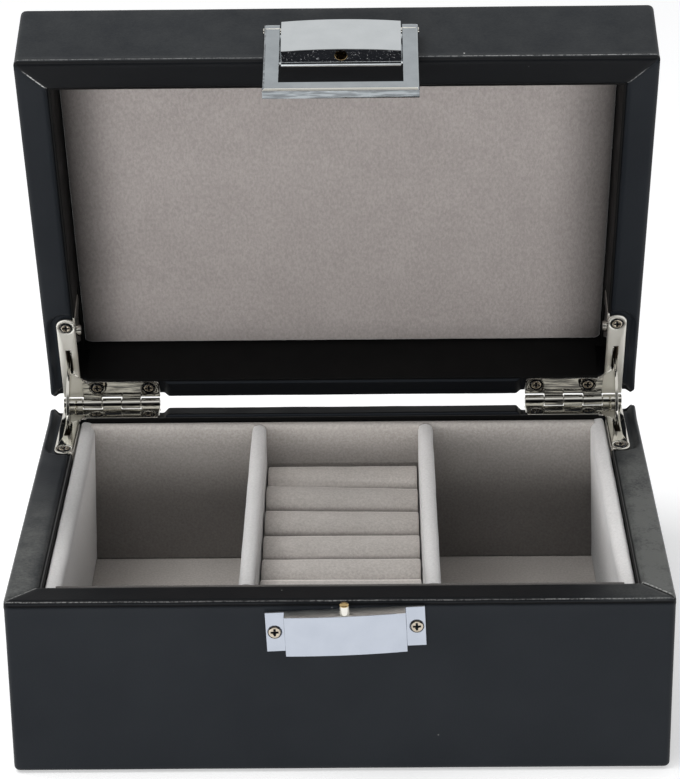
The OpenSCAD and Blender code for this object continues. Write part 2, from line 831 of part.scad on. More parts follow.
// Block with a bowed front, standing on the plate, in a frame with the plate's back on y = 0
module bowed_block(w, out, h) {
    translate([0, 0, -h / 2]) linear_extrude(h) intersection() {
        translate([-w / 2, -out]) square([w, out]);
        translate([0, bow_r - out]) circle(bow_r, $fn = 200);
    }
}

// The keeper is screwed on askew, turned about the middle of its pin
module keeper_place() {
    translate([latch_x, latch_y, body_z]) rotate([0, -keeper_tilt, 0])
        translate([0, 0, keeper_z - body_z]) children();
}

module latch_place() {
    translate([latch_x, latch_y, body_z + body_h / 2]) children();
}

// Both wing screws or their holes: what is drawn pointing out of a plate's face
module wing_pair() {
    for (x = [-1, 1]) translate([x * wing_screw_x, -plate_t, 0]) rotate([90, 0, 0]) children();
}

// Mounting plate with its back on the box
module mounting_plate(w, z0, z1) {
    translate([-w / 2, -plate_t, z0]) cube([w, plate_t, z1 - z0]);
}

module keeper() {
    color(chrome) keeper_place() difference() {
        union() {
            mounting_plate(plate_w, -keeper_h / 2, keeper_h / 2);
            bowed_block(body_w - keeper_narrow, keeper_out, keeper_h);
        }
        wing_pair() sunk_hole(plate_t, 0, screw_head_r + hole_clear);
        keeper_pin_place() cylinder(r = keeper_pin_r, h = keeper_h);
    }
}

// Foot of the keeper pin, in the keeper's frame
module keeper_pin_place() {
    translate([0, -keeper_pin_out, keeper_h / 2 - keeper_pin_seat]) children();
}

// Pin with a rounded tip
module keeper_pin() {
    h = keeper_pin_seat + keeper_pin_h;
    color(nickel) keeper_place() keeper_pin_place() intersection() {
        cylinder(r = keeper_pin_r, h = h);
        union() {
            cylinder(r = 2 * keeper_pin_r, h = h - keeper_tip_r);
            translate([0, 0, h - keeper_tip_r]) sphere(keeper_tip_r);
        }
    }
}

module keeper_screws() {
    color(nickel) keeper_place() wing_pair() screw(plate_t);
}

// Places for the two bail pivots, z pointing out of the latch body's side
module pivot_pair() {
    for (x = [-1, 1]) translate([x * (body_w / 2 - pivot_depth), -pivot_out, pivot_z - body_z - body_h / 2])
        rotate([0, x * 90, 0]) children();
}

// Section of the latch body through the axis of its bow: an upright front, a slope and a bevel below
module latch_section() {
    low_r = bow_r - (slope_h - body_bevel) * tan(slope_angle);
    polygon([
        [bow_r - 2 * body_out, 0], [low_r - body_bevel, 0], [low_r, body_bevel],
        [bow_r, slope_h], [bow_r, body_h], [bow_r - 2 * body_out, body_h]
    ]);
}

module latch_body() {
    bottom = -body_h / 2;
    color(chrome) lid_pose() latch_place() difference() {
        union() {
            mounting_plate(plate_w, bottom, body_h / 2);
            mounting_plate(body_w, bottom - plate_drop, bottom + tiny);
            intersection() {
                translate([-body_w / 2, -body_out, bottom]) cube([body_w, body_out, body_h]);
                translate([0, bow_r - body_out, bottom]) rotate_extrude($fn = 200) latch_section();
            }
        }
        wing_pair() sunk_hole(plate_t, latch_screw_sink, screw_head_r + hole_clear);
        translate([0, -keeper_pin_out, bottom - tiny]) cylinder(r = keeper_pin_r + keeper_pin_clear,
            h = keeper_pin_h - keeper_gap + pin_hole_spare);
        pivot_pair() cylinder(r = pivot_r, h = pivot_depth + spare);
    }
}

// Screws under the arms of the bail, sunk almost flush
module latch_screws() {
    color(nickel) lid_pose() latch_place() wing_pair() translate([0, 0, -latch_screw_sink])
        screw(plate_t - latch_screw_sink);
}

module bail_pivots() {
    color(nickel) lid_pose() latch_place() pivot_pair()
        cylinder(r = pivot_r, h = pivot_depth + bail_side_gap + arm_w + pivot_proud);
}

// One straight bevel along X at the outer face, cut by a square bar on edge
module bevel_bar(length, r) {
    rotate([45, 0, 0]) cube([length, r * sqrt(2), r * sqrt(2)], center = true);
}

module bail() {
    color(chrome) lid_pose() bail_pose() difference() {
        union() {
            translate([-bail_w / 2, -bail_t / 2, -bail_l]) cube([bail_w, bail_t, bail_l]);
            translate([-bail_w / 2, 0, 0]) rotate([0, 90, 0]) cylinder(r = eye_r, h = bail_w);
        }
        translate([-bail_w / 2 + arm_w, -bail_t, -window_l])
            cube([bail_w - 2 * arm_w, 2 * bail_t, 2 * window_l]);
        translate([-bail_w, 0, 0]) rotate([0, 90, 0]) cylinder(r = pivot_r + running_clear, h = 2 * bail_w);
        translate([0, -bail_t / 2, -bail_l]) bevel_bar(2 * bail_w, bail_bevel);
        for (x = [-1, 1]) translate([x * bail_w / 2, -bail_t / 2, 0]) rotate([0, 90, 0])
            bevel_bar(4 * bail_l, bail_bevel);
    }
}

base_cover();
base_front_board();
base_back_board();
base_left_board();
base_right_board();
bottom_board();
bottom_felt();
base_lip();
floor_lining();
front_lining();
back_lining();
left_lining();
right_lining();
left_divider();
right_divider();
roll_bed();
ring_roll(0);  // ring_roll_1
ring_roll(1);  // ring_roll_2
ring_roll(2);  // ring_roll_3
ring_roll(3);  // ring_roll_4
ring_roll(4);  // ring_roll_5
ring_roll(5);  // ring_roll_6
ring_roll(6);  // ring_roll_7
lid_cover();
lid_front_board();
lid_back_board();
lid_left_board();
lid_right_board();
lid_top_board();
lid_lip();
lid_panel();
base_leaf_left();
base_leaf_right();
lid_leaf_left();
lid_leaf_right();
hinge_pin_left();
hinge_pin_right();
stay_left();
stay_right();
base_hinge_screws();
lid_hinge_screws();
flange_rivets();
keeper();
keeper_pin();
keeper_screws();
latch_body();
latch_screws();
bail_pivots();
bail();
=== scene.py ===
"""Ring display box: the looks of each piece, a pale studio and the camera.

Metres, in the frame of the CAD model. Lid pieces are shaped for the shut lid and
then turned to where it stands open.
"""

import json
import math

import bmesh
import bpy
from mathutils import Matrix, Vector, noise

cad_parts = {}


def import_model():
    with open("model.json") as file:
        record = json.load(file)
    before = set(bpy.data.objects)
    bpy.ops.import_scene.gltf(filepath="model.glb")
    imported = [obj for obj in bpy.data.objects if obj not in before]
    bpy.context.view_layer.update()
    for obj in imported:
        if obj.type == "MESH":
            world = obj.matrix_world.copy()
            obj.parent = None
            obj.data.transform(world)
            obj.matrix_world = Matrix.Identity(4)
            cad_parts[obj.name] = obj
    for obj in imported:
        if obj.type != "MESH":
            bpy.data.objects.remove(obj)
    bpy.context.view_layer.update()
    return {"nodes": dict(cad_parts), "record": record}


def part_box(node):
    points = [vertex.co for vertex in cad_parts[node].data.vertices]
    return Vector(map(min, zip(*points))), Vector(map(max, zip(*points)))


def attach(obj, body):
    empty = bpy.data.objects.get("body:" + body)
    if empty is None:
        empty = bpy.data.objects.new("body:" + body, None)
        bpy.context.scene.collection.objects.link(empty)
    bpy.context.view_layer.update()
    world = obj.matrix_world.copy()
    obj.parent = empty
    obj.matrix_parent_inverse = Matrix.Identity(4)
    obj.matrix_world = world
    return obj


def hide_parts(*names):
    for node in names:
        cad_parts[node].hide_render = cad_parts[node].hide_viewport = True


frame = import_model()

MM = 0.001

# ---------- sizes, as in the CAD model ----------

BOX_W, BOX_D = 200 * MM, 142 * MM
BASE_H, LID_H, RIM_GAP = 59 * MM, 29 * MM, 1 * MM
BOTTOM_Z = 0.6 * MM
LID_Z = BASE_H + RIM_GAP
LID_TOP_Z = LID_Z + LID_H
LID_BOARD_TOP_Z = 83 * MM
SKIN_END_Z = 5.1 * MM  # where the leatherette ends inside the base's walls
WALL_T, BACK_WALL_T = 10 * MM, 6.5 * MM
INNER_W, INNER_D = BOX_W - 2 * WALL_T, BOX_D - WALL_T - BACK_WALL_T
INNER_Y = (WALL_T - BACK_WALL_T) / 2
EDGE_R, BACK_EDGE_R, CORNER_R = 1.5 * MM, 0.6 * MM, 2 * MM
LINING_TOP_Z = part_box("back_lining")[1].z
AXIS = Vector((0, 73.6 * MM, BASE_H + RIM_GAP / 2))
OPEN_ANGLE = math.radians(70)
TO_OPEN = (
    Matrix.Translation(AXIS)
    @ Matrix.Rotation(-OPEN_ANGLE, 4, "X")
    @ Matrix.Translation(-AXIS)
)

# Hinge leaf, from above: its legs, their ends, and the slot that the stay passes through
LEAF_X = 95.7 * MM
LEG_W, BACK_LEG_L, SIDE_LEG_L = 6.5 * MM, 33.2 * MM, 37.6 * MM
LEG_MID_X = LEAF_X - LEG_W / 2
SIDE_LEG_X = LEAF_X - LEG_W - 0.3 * MM
PIN_BACK = 2.6 * MM
SLOT_HALF, SLOT_FROM, SLOT_TO = 0.9 * MM, 12.7 * MM, 25.4 * MM
LEAF_BELOW_AXIS = 1.3 * MM

# Latch, keeper pin and its hole, for the shut lid
LATCH_X, PIN_Y, PIN_HOLE_R = 1.5 * MM, -74.6 * MM, 1.85 * MM
PIN_TIP_Z = 59.0 * MM

# ---------- what the record says of each node ----------

BODY_OF = {node: body for body, nodes in frame["record"]["behaviour"]["bodies"].items() for node in nodes}
SLOT_OF = {row["node"]: row["material_slot"] for row in frame["record"]["subparts"]}

# Screws are darker than the leaves, and the keeper and the bail get copies of chrome painted darker, as
# painted shade standing in for dimmer reflections.
LOOK_OF = dict(SLOT_OF)
LOOK_OF.update({node: "bronze" for node in SLOT_OF if node.endswith("_screws")})
LOOK_OF.update({"keeper": "keeper_chrome_painted_darker", "bail": "bail_chrome_painted_darker"})


# ---------- material helpers ----------


class Nodes:
    """Short ways to add nodes to the tree of a material or the world."""

    def __init__(self, tree):
        self.nodes, self.links = tree.nodes, tree.links

    def put(self, target, value):
        """Links a socket to an input, or writes a plain value into it."""
        if isinstance(value, bpy.types.NodeSocket):
            self.links.new(value, target)
        else:
            target.default_value = value

    def math(self, op, a, b=0.0, clamp=False):
        n = self.nodes.new("ShaderNodeMath")
        n.operation = op
        n.use_clamp = clamp
        self.put(n.inputs[0], a)
        self.put(n.inputs[1], b)
        return n.outputs[0]

    def span(self, value, low, high, to_low=0.0, to_high=1.0):
        """The value carried from the range low to high over to to_low to to_high, held at its ends."""
        n = self.nodes.new("ShaderNodeMapRange")
        self.put(n.inputs["Value"], value)
        self.put(n.inputs["From Min"], low)
        self.put(n.inputs["From Max"], high)
        self.put(n.inputs["To Min"], to_low)
        self.put(n.inputs["To Max"], to_high)
        return n.outputs[0]

    def seen_directly(self):
        """1 for rays from the camera, from mirrors and through glass, and 0 for all others."""
        path = self.nodes.new("ShaderNodeLightPath")
        mirrored = self.math("MAXIMUM", path.outputs["Is Camera Ray"], path.outputs["Is Glossy Ray"])
        return self.math("MAXIMUM", mirrored, path.outputs["Is Transmission Ray"])


class Material(Nodes):
    """A new material with its nodes, all in the object's own coordinates."""

    def __init__(self, name):
        self.mat = bpy.data.materials.new(name)
        self.mat.use_nodes = True
        super().__init__(self.mat.node_tree)
        self.shader = self.nodes["Principled BSDF"]
        self.coords = self.nodes.new("ShaderNodeTexCoord").outputs["Object"]

    def stretched(self, scale):
        n = self.nodes.new("ShaderNodeMapping")
        self.put(n.inputs["Vector"], self.coords)
        n.inputs["Scale"].default_value = scale
        return n.outputs[0]

    def noise(self, size, detail=2.0, rough=0.5, coords=None):
        n = self.nodes.new("ShaderNodeTexNoise")
        self.put(n.inputs["Vector"], coords or self.coords)
        n.inputs["Scale"].default_value = 1 / size
        n.inputs["Detail"].default_value = detail
        n.inputs["Roughness"].default_value = rough
        return n.outputs["Fac"]

    def cells(self, size):
        n = self.nodes.new("ShaderNodeTexVoronoi")
        self.put(n.inputs["Vector"], self.coords)
        n.inputs["Scale"].default_value = 1 / size
        return n.outputs["Distance"]

    def blend(self, factor, a, b):
        n = self.nodes.new("ShaderNodeMix")
        n.data_type = "RGBA"
        self.put(n.inputs[0], factor)
        self.put(n.inputs[6], a)
        self.put(n.inputs[7], b)
        return n.outputs[2]

    def scaled(self, colour, factor):
        n = self.nodes.new("ShaderNodeVectorMath")
        n.operation = "SCALE"
        self.put(n.inputs[0], colour)
        self.put(n.inputs["Scale"], factor)
        return n.outputs[0]

    def attribute(self, name):
        n = self.nodes.new("ShaderNodeAttribute")
        n.attribute_name = name
        return n.outputs["Fac"]

    def bump(self, height, depth, strength=1.0, normal=None):
        n = self.nodes.new("ShaderNodeBump")
        n.inputs["Strength"].default_value = strength
        n.inputs["Distance"].default_value = depth
        self.put(n.inputs["Height"], height)
        if normal is not None:
            self.put(n.inputs["Normal"], normal)
        return n.outputs[0]

    def set(self, **values):
        for name, value in values.items():
            self.put(self.shader.inputs[name.replace("_", " ")], value)


def leatherette():
    """Black satin leatherette with a fine grain.

    The mesh attribute "line" is the distance in millimetres from a rubbed edge, and another says how rubbed
    that edge is; along the rim's outer edge the pale line is partly painted highlight. A third says how pale
    and hazy it is, which on the lid's front is painted sheen, and "shade" where painted shade darkens it.
    """
    t = Material("leatherette")
    patches = t.noise(35 * MM, 3)
    grain = t.math("ADD", t.cells(0.75 * MM), t.math("MULTIPLY", t.noise(0.35 * MM, 3, 0.6), 0.6))
    mottled = t.blend(t.span(patches, 0.3, 0.7), (0.0085, 0.0105, 0.0135, 1), (0.0115, 0.0138, 0.017, 1))
    cloudy = t.math("ADD", t.noise(0.9 * MM, 4, 0.75), t.noise(9 * MM, 3, 0.6))
    # Pale haze on the rims of the base, and painted sheen on the lid's front.
    dull = t.math("MULTIPLY", t.attribute("haze_and_sheen"), t.span(cloudy, 0.7, 1.3, 0.25, 1.65))
    hazed = t.blend(dull, mottled, (0.105, 0.108, 0.103, 1))
    # Painted shade: near black deep inside the walls, in the fold under the rim, on the rim's front and back
    # pieces and in the base's front right seam.
    deep = t.blend(t.attribute("shade"), hazed, (0.0012, 0.0012, 0.0014, 1))
    # Rubbed edges and seams are paler; along the rim's outer edge the pale line is also a painted highlight.
    line = t.span(t.attribute("line"), 0.12, 0.28, 1.0, 0.0)
    broken = t.span(t.noise(0.8 * MM, 4, 0.7), 0.42, 0.54, 0.15, 1.0)
    worn_and_highlit = t.math("MULTIPLY", t.math("MULTIPLY", t.attribute("wear_and_highlight"), line), broken)
    dust = t.span(t.cells(9 * MM), 0.035, 0.02)
    pale = t.math("MAXIMUM", worn_and_highlit, t.math("MULTIPLY", dust, t.span(t.noise(20 * MM), 0.5, 0.6)), True)
    gloss = t.span(t.noise(14 * MM, 3), 0.3, 0.7, 0.36, 0.45)
    t.set(
        Base_Color=t.blend(pale, deep, (0.5, 0.5, 0.49, 1)),
        Roughness=t.math("ADD", gloss, t.math("MULTIPLY", t.attribute("shade"), 0.1)),
        Specular_IOR_Level=0.15,
        Normal=t.bump(grain, 0.05 * MM, 0.35, t.bump(patches, 0.6 * MM, 0.25)),
    )
    return t.mat


def velvet(name, dark, light, streak):
    """Short pile: fine speckle, brushed patches, and sheen at grazing angles.

    A mesh attribute paints light and shade on it: how much lighter (above 0) or darker the velvet is painted
    there.
    """
    t = Material(name)
    pile = t.noise(0.45 * MM, 2, 0.8)
    fleck = t.noise(0.8 * MM, 3, 0.75, t.stretched((1, 1, streak)))
    brushed = t.noise(18 * MM, 3, 0.55)
    tone = t.math("ADD", t.span(brushed, 0.35, 0.65, 0.0, 0.22), t.span(fleck, 0.36, 0.64, 0.0, 0.78), True)
    # Painted light and shade scale the velvet's colour.
    painted_colour = t.scaled(t.blend(tone, dark, light), t.math("ADD", t.attribute("painted_shading"), 1.0))
    t.set(
        Base_Color=painted_colour,
        Roughness=1.0,
        Specular_IOR_Level=0.15,
        Sheen_Weight=0.5,
        Sheen_Roughness=0.35,
        Normal=t.bump(pile, 0.25 * MM, 0.6, t.bump(brushed, 0.5 * MM, 0.25)),
    )
    return t.mat


def metal(name, colour, rough, worn):
    """Plated metal: slightly uneven gloss with fine scratches.

    One mesh attribute marks raw dark casting with bright specks, which in the cross slots and rims of screws
    is painted shade; "brass" marks a warm worn place, "satin" a face dulled by handling and painted paler as
    a painted highlight, and "dim" one painted dark in streaks, as painted dark reflection.
    """
    t = Material(name)
    scratches = t.noise(0.6 * MM, 4, 0.7, t.stretched((1, 6, 1)))
    cloud = t.noise(6 * MM, 3)
    low, high = rough
    plated = t.blend(t.span(cloud, 0.3, 0.7), colour, worn)
    speck = t.span(t.noise(0.7 * MM, 4, 0.8), 0.60, 0.66)
    # Raw casting, and painted shade in the screws' cross slots and rims.
    raw = t.blend(speck, (0.025, 0.027, 0.032, 1), (0.75, 0.76, 0.78, 1))
    casting_and_shade, satin = t.attribute("casting_and_shade"), t.attribute("satin")
    # A satin face is painted paler, as a painted highlight, as well as rougher.
    plated = t.blend(satin, plated, (0.95, 0.93, 0.86, 1))
    # Painted dark reflection, in streaks, where a face is marked dim.
    streaks = t.span(t.noise(2.5 * MM, 3, 0.6, t.stretched((0.35, 1, 3))), 0.42, 0.6, 0.9, 0.2)
    plated = t.blend(t.math("MULTIPLY", t.attribute("dim"), streaks), plated, (0.03, 0.032, 0.036, 1))
    gloss = t.math("ADD", t.span(cloud, 0.3, 0.7, low, high), t.span(scratches, 0.4, 0.7, 0.0, 0.02))
    pitted = t.math("MULTIPLY", t.noise(0.5 * MM, 3, 0.7), casting_and_shade)
    t.set(
        Base_Color=t.blend(casting_and_shade, t.blend(t.attribute("brass"), plated, (0.50, 0.36, 0.17, 1)), raw),
        Metallic=1.0,
        Roughness=t.math("ADD", gloss, t.math("MULTIPLY", t.math("ADD", casting_and_shade, satin), 0.4)),
        Normal=t.bump(pitted, 0.3 * MM, 1.0, t.bump(scratches, 0.006 * MM, 0.3)),
    )
    return t.mat


def board():
    """Fibreboard, seen only in the depth of the slots: matted fibres."""
    t = Material("board")
    fibre = t.noise(1.5 * MM, 5, 0.75, t.stretched((1, 0.2, 1)))
    t.set(
        Base_Color=t.blend(t.span(fibre, 0.3, 0.7), (0.085, 0.06, 0.04, 1), (0.14, 0.10, 0.065, 1)),
        Roughness=0.9,
        Normal=t.bump(fibre, 0.1 * MM, 0.4),
    )
    return t.mat


def card():
    """Black card with a faint sheen and a fine tooth. A mesh attribute says where it is painted paler, as a
    painted highlight.
    """
    t = Material("card")
    tooth = t.noise(0.5 * MM, 3, 0.7)
    black = t.blend(tooth, (0.002, 0.002, 0.002, 1), (0.005, 0.005, 0.005, 1))
    t.set(
        Base_Color=t.blend(t.attribute("wear_and_highlight"), black, (0.045, 0.045, 0.045, 1)),
        Roughness=t.span(t.noise(10 * MM, 2), 0.3, 0.7, 0.5, 0.65),
        Specular_IOR_Level=0.12,
        Normal=t.bump(tooth, 0.03 * MM, 0.4),
    )
    return t.mat


def felt():
    """Black felt, matted and dull."""
    t = Material("felt")
    fibre = t.noise(0.6 * MM, 5, 0.8)
    t.set(
        Base_Color=t.blend(fibre, (0.008, 0.008, 0.008, 1), (0.03, 0.03, 0.03, 1)),
        Roughness=1.0,
        Normal=t.bump(fibre, 0.2 * MM, 0.6),
    )
    return t.mat


MATERIALS = {
    "leatherette": leatherette(),
    "card": card(),
    "board": board(),
    "felt": felt(),
    "velvet": velvet("velvet", (0.29, 0.27, 0.252, 1), (0.40, 0.376, 0.354, 1), 1),
    "pale_velvet": velvet("pale_velvet", (0.55, 0.54, 0.53, 1), (0.65, 0.64, 0.63, 1), 1),
    "lid_velvet": velvet("lid_velvet", (0.28, 0.253, 0.242, 1), (0.375, 0.343, 0.328, 1), 0.4),
    "nickel": metal("nickel", (0.76, 0.745, 0.69, 1), (0.02, 0.05), (0.69, 0.67, 0.61, 1)),
    "chrome": metal("chrome", (0.67, 0.70, 0.715, 1), (0.05, 0.10), (0.63, 0.66, 0.675, 1)),
    # Copies of chrome painted darker for the keeper and the bail, as painted shade standing in for dimmer
    # reflections.
    "keeper_chrome_painted_darker": metal("keeper_chrome_painted_darker", (0.47, 0.505, 0.57, 1), (0.06, 0.11), (0.44, 0.475, 0.54, 1)),
    "bail_chrome_painted_darker": metal("bail_chrome_painted_darker", (0.44, 0.475, 0.495, 1), (0.05, 0.10), (0.38, 0.41, 0.43, 1)),
    "bronze": metal("bronze", (0.60, 0.54, 0.45, 1), (0.08, 0.15), (0.44, 0.38, 0.30, 1)),
}


# ---------- mesh helpers ----------


def add(name, verts, faces, slot, body, lid=False):
    """A new smooth piece from its vertices and faces, in its material slot, riding on its body."""
    bm = bmesh.new()
    points = [bm.verts.new(v) for v in verts]
    for face in faces:
        bm.faces.new([points[i] for i in face])
    if lid:
        bmesh.ops.transform(bm, matrix=TO_OPEN, verts=bm.verts)
    bmesh.ops.recalc_face_normals(bm, faces=bm.faces)
    return piece(name, bm, body, slot)


def piece(name, bm, body, look):
    """Object from a finished bmesh and look, riding on its body."""
    mesh = bpy.data.meshes.new(name)
    bm.to_mesh(mesh)
    bm.free()
    mesh.shade_smooth()
    mesh.materials.append(MATERIALS[look])
    obj = bpy.data.objects.new(name, mesh)
    bpy.context.scene.collection.objects.link(obj)
    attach(obj, body)
    return obj


def mark(obj, name, values):
    """Writes a number for each vertex where the materials find it."""
    obj.data.attributes.new(name, "FLOAT", "POINT").data.foreach_set("value", values)


def smoothstep(a, b, x):
    """0 up to a, 1 from b on, and a soft step between them."""
    t = max(0.0, min(1.0, (x - a) / (b - a)))
    return t * t * (3 - 2 * t)


def bell(x, width):
    """1 at x = 0, falling softly to almost nothing at twice the width."""
    return math.exp(-((x / width) ** 2))


def wave(p, size, seed):
    """Smooth noise from -1 to 1 with bumps about size across."""
    return noise.noise(Vector(p) / size + Vector((seed, seed * 1.7, -seed)))


# ---------- leatherette over the walls ----------

# How thick the leatherette is, how deep its fold's groove is and how far below the rim it lies
SKIN_T, FOLD_GROOVE = 0.8 * MM, 0.35 * MM
FOLD_DEPTHS = {"base": 1.6 * MM, "lid": 1.15 * MM}

# Corner seams at the back, front left and front right: how rubbed, and from which share of their length
SEAMS = {"base": ((0.15, 0.0), (0.42, 0.0), (0.5, 0.0)), "lid": ((0.15, 0.0), (1.0, 0.22), (0.3, 0.3))}

# Soft recess round a hinge leaf: how deep it is, and how far out its edge starts and ends
RECESS_DEPTH, RECESS_FROM, RECESS_TO = 1.8 * MM, 1.1 * MM, 3.3 * MM

# Shares of each side's length, in turn from the front left corner, where a hinge needs finer columns
BY_HINGE = ((), ((0.66, 1.0),), ((0.0, 0.24), (0.76, 1.0)), ((0.0, 0.34),))

# Different random waves for the two skins
SKIN_SEEDS = {"base": 2.0, "lid": 11.0}

# Insets of the rows that carry the lid's skin on over its top
LID_TOP_INSETS = (60 * MM, 40 * MM, 22 * MM)


def distance_to_leaf(x, y):
    """Signed distance from the leaf's outline in plan, negative inside. y is measured from the pin."""
    x = abs(x)
    past_wall = 20 * MM

    def to_box(cx, cy, hx, hy, r):
        dx, dy = abs(x - cx) - hx + r, abs(y - cy) - hy + r
        return math.hypot(max(dx, 0), max(dy, 0)) + min(max(dx, dy), 0) - r

    side_l = SIDE_LEG_L + past_wall
    side = to_box(LEG_MID_X, -SIDE_LEG_L + side_l / 2, LEG_W / 2, side_l / 2, LEG_W / 2)
    back_d = LEG_W + PIN_BACK + past_wall
    back_y = -PIN_BACK - LEG_W + back_d / 2
    back = to_box(LEAF_X - BACK_LEG_L / 2, back_y, BACK_LEG_L / 2, back_d / 2, 2 * MM)
    return min(side, back)


def column_step(share, length, fine):
    """Distance to the next column of the skin: finer beside the hinges and finest at the corners."""
    from_end = min(share, 1 - share) * length
    if from_end < 1.2 * MM:
        return 0.2 * MM
    if any(a <= share + 1e-6 < b for a, b in fine):
        return 0.5 * MM
    return 0.8 * MM if from_end < 14 * MM else 3 * MM


def outline_stations():
    """Shares of the four sides' lengths at which the skin has a column."""
    sides = []
    for length, fine in zip((BOX_W, BOX_D, BOX_W, BOX_D), BY_HINGE):
        stops = [0.0]
        while stops[-1] < 1:
            stops.append(min(1.0, stops[-1] + column_step(stops[-1], length, fine) / length))
        if 1 - stops[-2] < 0.3 * MM / length:
            stops.pop(-2)
        sides.append(stops[:-1])
    return sides


def corners(inset, back_extra):
    """The four corners of the outline moved inwards, front left first, anticlockwise from above."""
    x, front, back = BOX_W / 2 - inset, -BOX_D / 2 + inset, BOX_D / 2 - inset * back_extra
    return [Vector((-x, front)), Vector((x, front)), Vector((x, back)), Vector((-x, back))]


def skin_profile(bottom, top, inner_end, outer_r):
    """Rows of the skin as (inset, height): in under the bottom, up outside, over the rim, down inside."""
    rows = [(WALL_T, bottom), (WALL_T * 0.5, bottom)]
    for i in range(5):
        a = math.radians(90 - 22.5 * i)
        rows.append((outer_r * (1 - math.cos(a)), bottom + outer_r * (1 - math.sin(a))))
    side_rows, fold_rows, rim_rows, inner_rows = 12, 6, 14, 6
    side_low, side_top = bottom + outer_r, top - 3.4 * MM
    for i in range(1, side_rows):
        rows.append((0.0, side_low + (side_top - side_low) * (1 - (1 - i / side_rows) ** 1.3)))
    rows += [(0.0, side_top + 0.3 * MM * i) for i in range(1, fold_rows + 1)]
    for i in range(7):
        a = math.radians(15 * i)
        rows.append((outer_r * (1 - math.cos(a)), top - outer_r * (1 - math.sin(a))))
    flat = WALL_T - outer_r - EDGE_R
    rows += [(outer_r + flat * i / rim_rows, top) for i in range(1, rim_rows)]
    for i in range(7):
        a = math.radians(90 - 15 * i)
        rows.append((WALL_T - EDGE_R * (1 - math.cos(a)), top - EDGE_R * (1 - math.sin(a))))
    inner_top = top - EDGE_R
    for i in range(1, inner_rows + 1):
        rows.append((WALL_T, inner_top - (inner_top - inner_end) * (i / inner_rows) ** 1.4))
    return rows


def skin_columns(bottom, top, inner_end, closing):
    """Points of the swept skin, one list per column. The folds along the back are tighter than the others.

    closing holds more rows, as insets at the height of the bottom, that come before those of the walls.
    """
    back_share = BACK_WALL_T / WALL_T
    edge = corners(0, back_share)
    columns = []
    for side, stops in enumerate(outline_stations()):
        for u in stops:
            from_back = BOX_D / 2 - edge[side].lerp(edge[(side + 1) % 4], u).y
            outer_r = BACK_EDGE_R + (EDGE_R - BACK_EDGE_R) * smoothstep(0, 12 * MM, from_back)
            column = []
            for inset, z in [(x, bottom) for x in closing] + skin_profile(bottom, top, inner_end, outer_r):
                ring = corners(inset, back_share)
                p = ring[side].lerp(ring[(side + 1) % 4], u)
                column.append(Vector((p.x, p.y, z)))
            columns.append(column)
    return columns


def round_corner(p):
    """Moves a point out of the sharp upright corner onto its rounding."""
    cx, cy = BOX_W / 2 - CORNER_R, BOX_D / 2 - CORNER_R
    dx, dy = abs(p.x) - cx, abs(p.y) - cy
    if dx <= 0 or dy <= 0:
        return p
    k = max(dx, dy) / math.hypot(dx, dy)
    return Vector((math.copysign(cx + dx * k, p.x), math.copysign(cy + dy * k, p.y), p.z))


def mitre_distance(x, y):
    """Distance in plan from the nearest corner seam, and how far along it from the outer corner."""
    end = -1 if y < 0 else 1
    a = Vector((BOX_W / 2, end * BOX_D / 2))
    b = Vector((INNER_W / 2, INNER_Y + end * INNER_D / 2))
    p = Vector((abs(x), y))
    t = max(0.0, min(1.0, (p - a).dot(b - a) / (b - a).length_squared))
    return (p - (a + (b - a) * t)).length, t


def shape_skin(p, rim_z, shell):
    """Settles the skin over the boards: soft recesses for the leaves, seams at the corners, slight waves.

    Returns the point and how far it sinks away from the rim.
    """
    seed = SKIN_SEEDS[shell]
    depth = abs(p.z - rim_z)
    p = round_corner(p)
    on_top = 1 - smoothstep(2 * MM, 9 * MM, depth)
    d = distance_to_leaf(p.x, p.y - AXIS.y)
    sunk = RECESS_DEPTH * (1 - smoothstep(RECESS_FROM, RECESS_TO, d)) * on_top
    seam_d, _ = mitre_distance(p.x, p.y)
    seam_depth = 0.5 * MM if p.x > 0 and p.y < 0 else 0.28 * MM
    groove = seam_depth * bell(seam_d, 0.55 * MM) * (1 - smoothstep(0.5 * MM, 3 * MM, depth))
    near_seam = 0.16 * MM * bell(seam_d, 4 * MM) * (1 - smoothstep(0, 2 * MM, depth))
    swell = 0.10 * MM * wave(p, 17 * MM, seed) + 0.05 * MM * wave(p, 6 * MM, seed + 3)
    sink = sunk + groove - near_seam - swell * on_top * (1 - smoothstep(0, 0.6 * MM, sunk))

    inward, pressed = Vector((-p.x, -p.y, 0)).normalized(), 0.0
    if depth > 3 * MM:
        pressed = 0.09 * MM + 0.09 * MM * wave(p, 30 * MM, seed + 7) * smoothstep(3 * MM, 8 * MM, depth)
    edge_x, edge_y = BOX_W / 2 - abs(p.x), BOX_D / 2 - abs(p.y)
    if min(edge_x, edge_y) < 0.1 * MM:
        on_side = edge_x < 0.1 * MM
        inward = Vector((-math.copysign(1, p.x), 0, 0)) if on_side else Vector((0, -math.copysign(1, p.y), 0))
        pressed += FOLD_GROOVE * bell(depth - FOLD_DEPTHS[shell], 0.45 * MM)
    return p + inward * pressed, sink


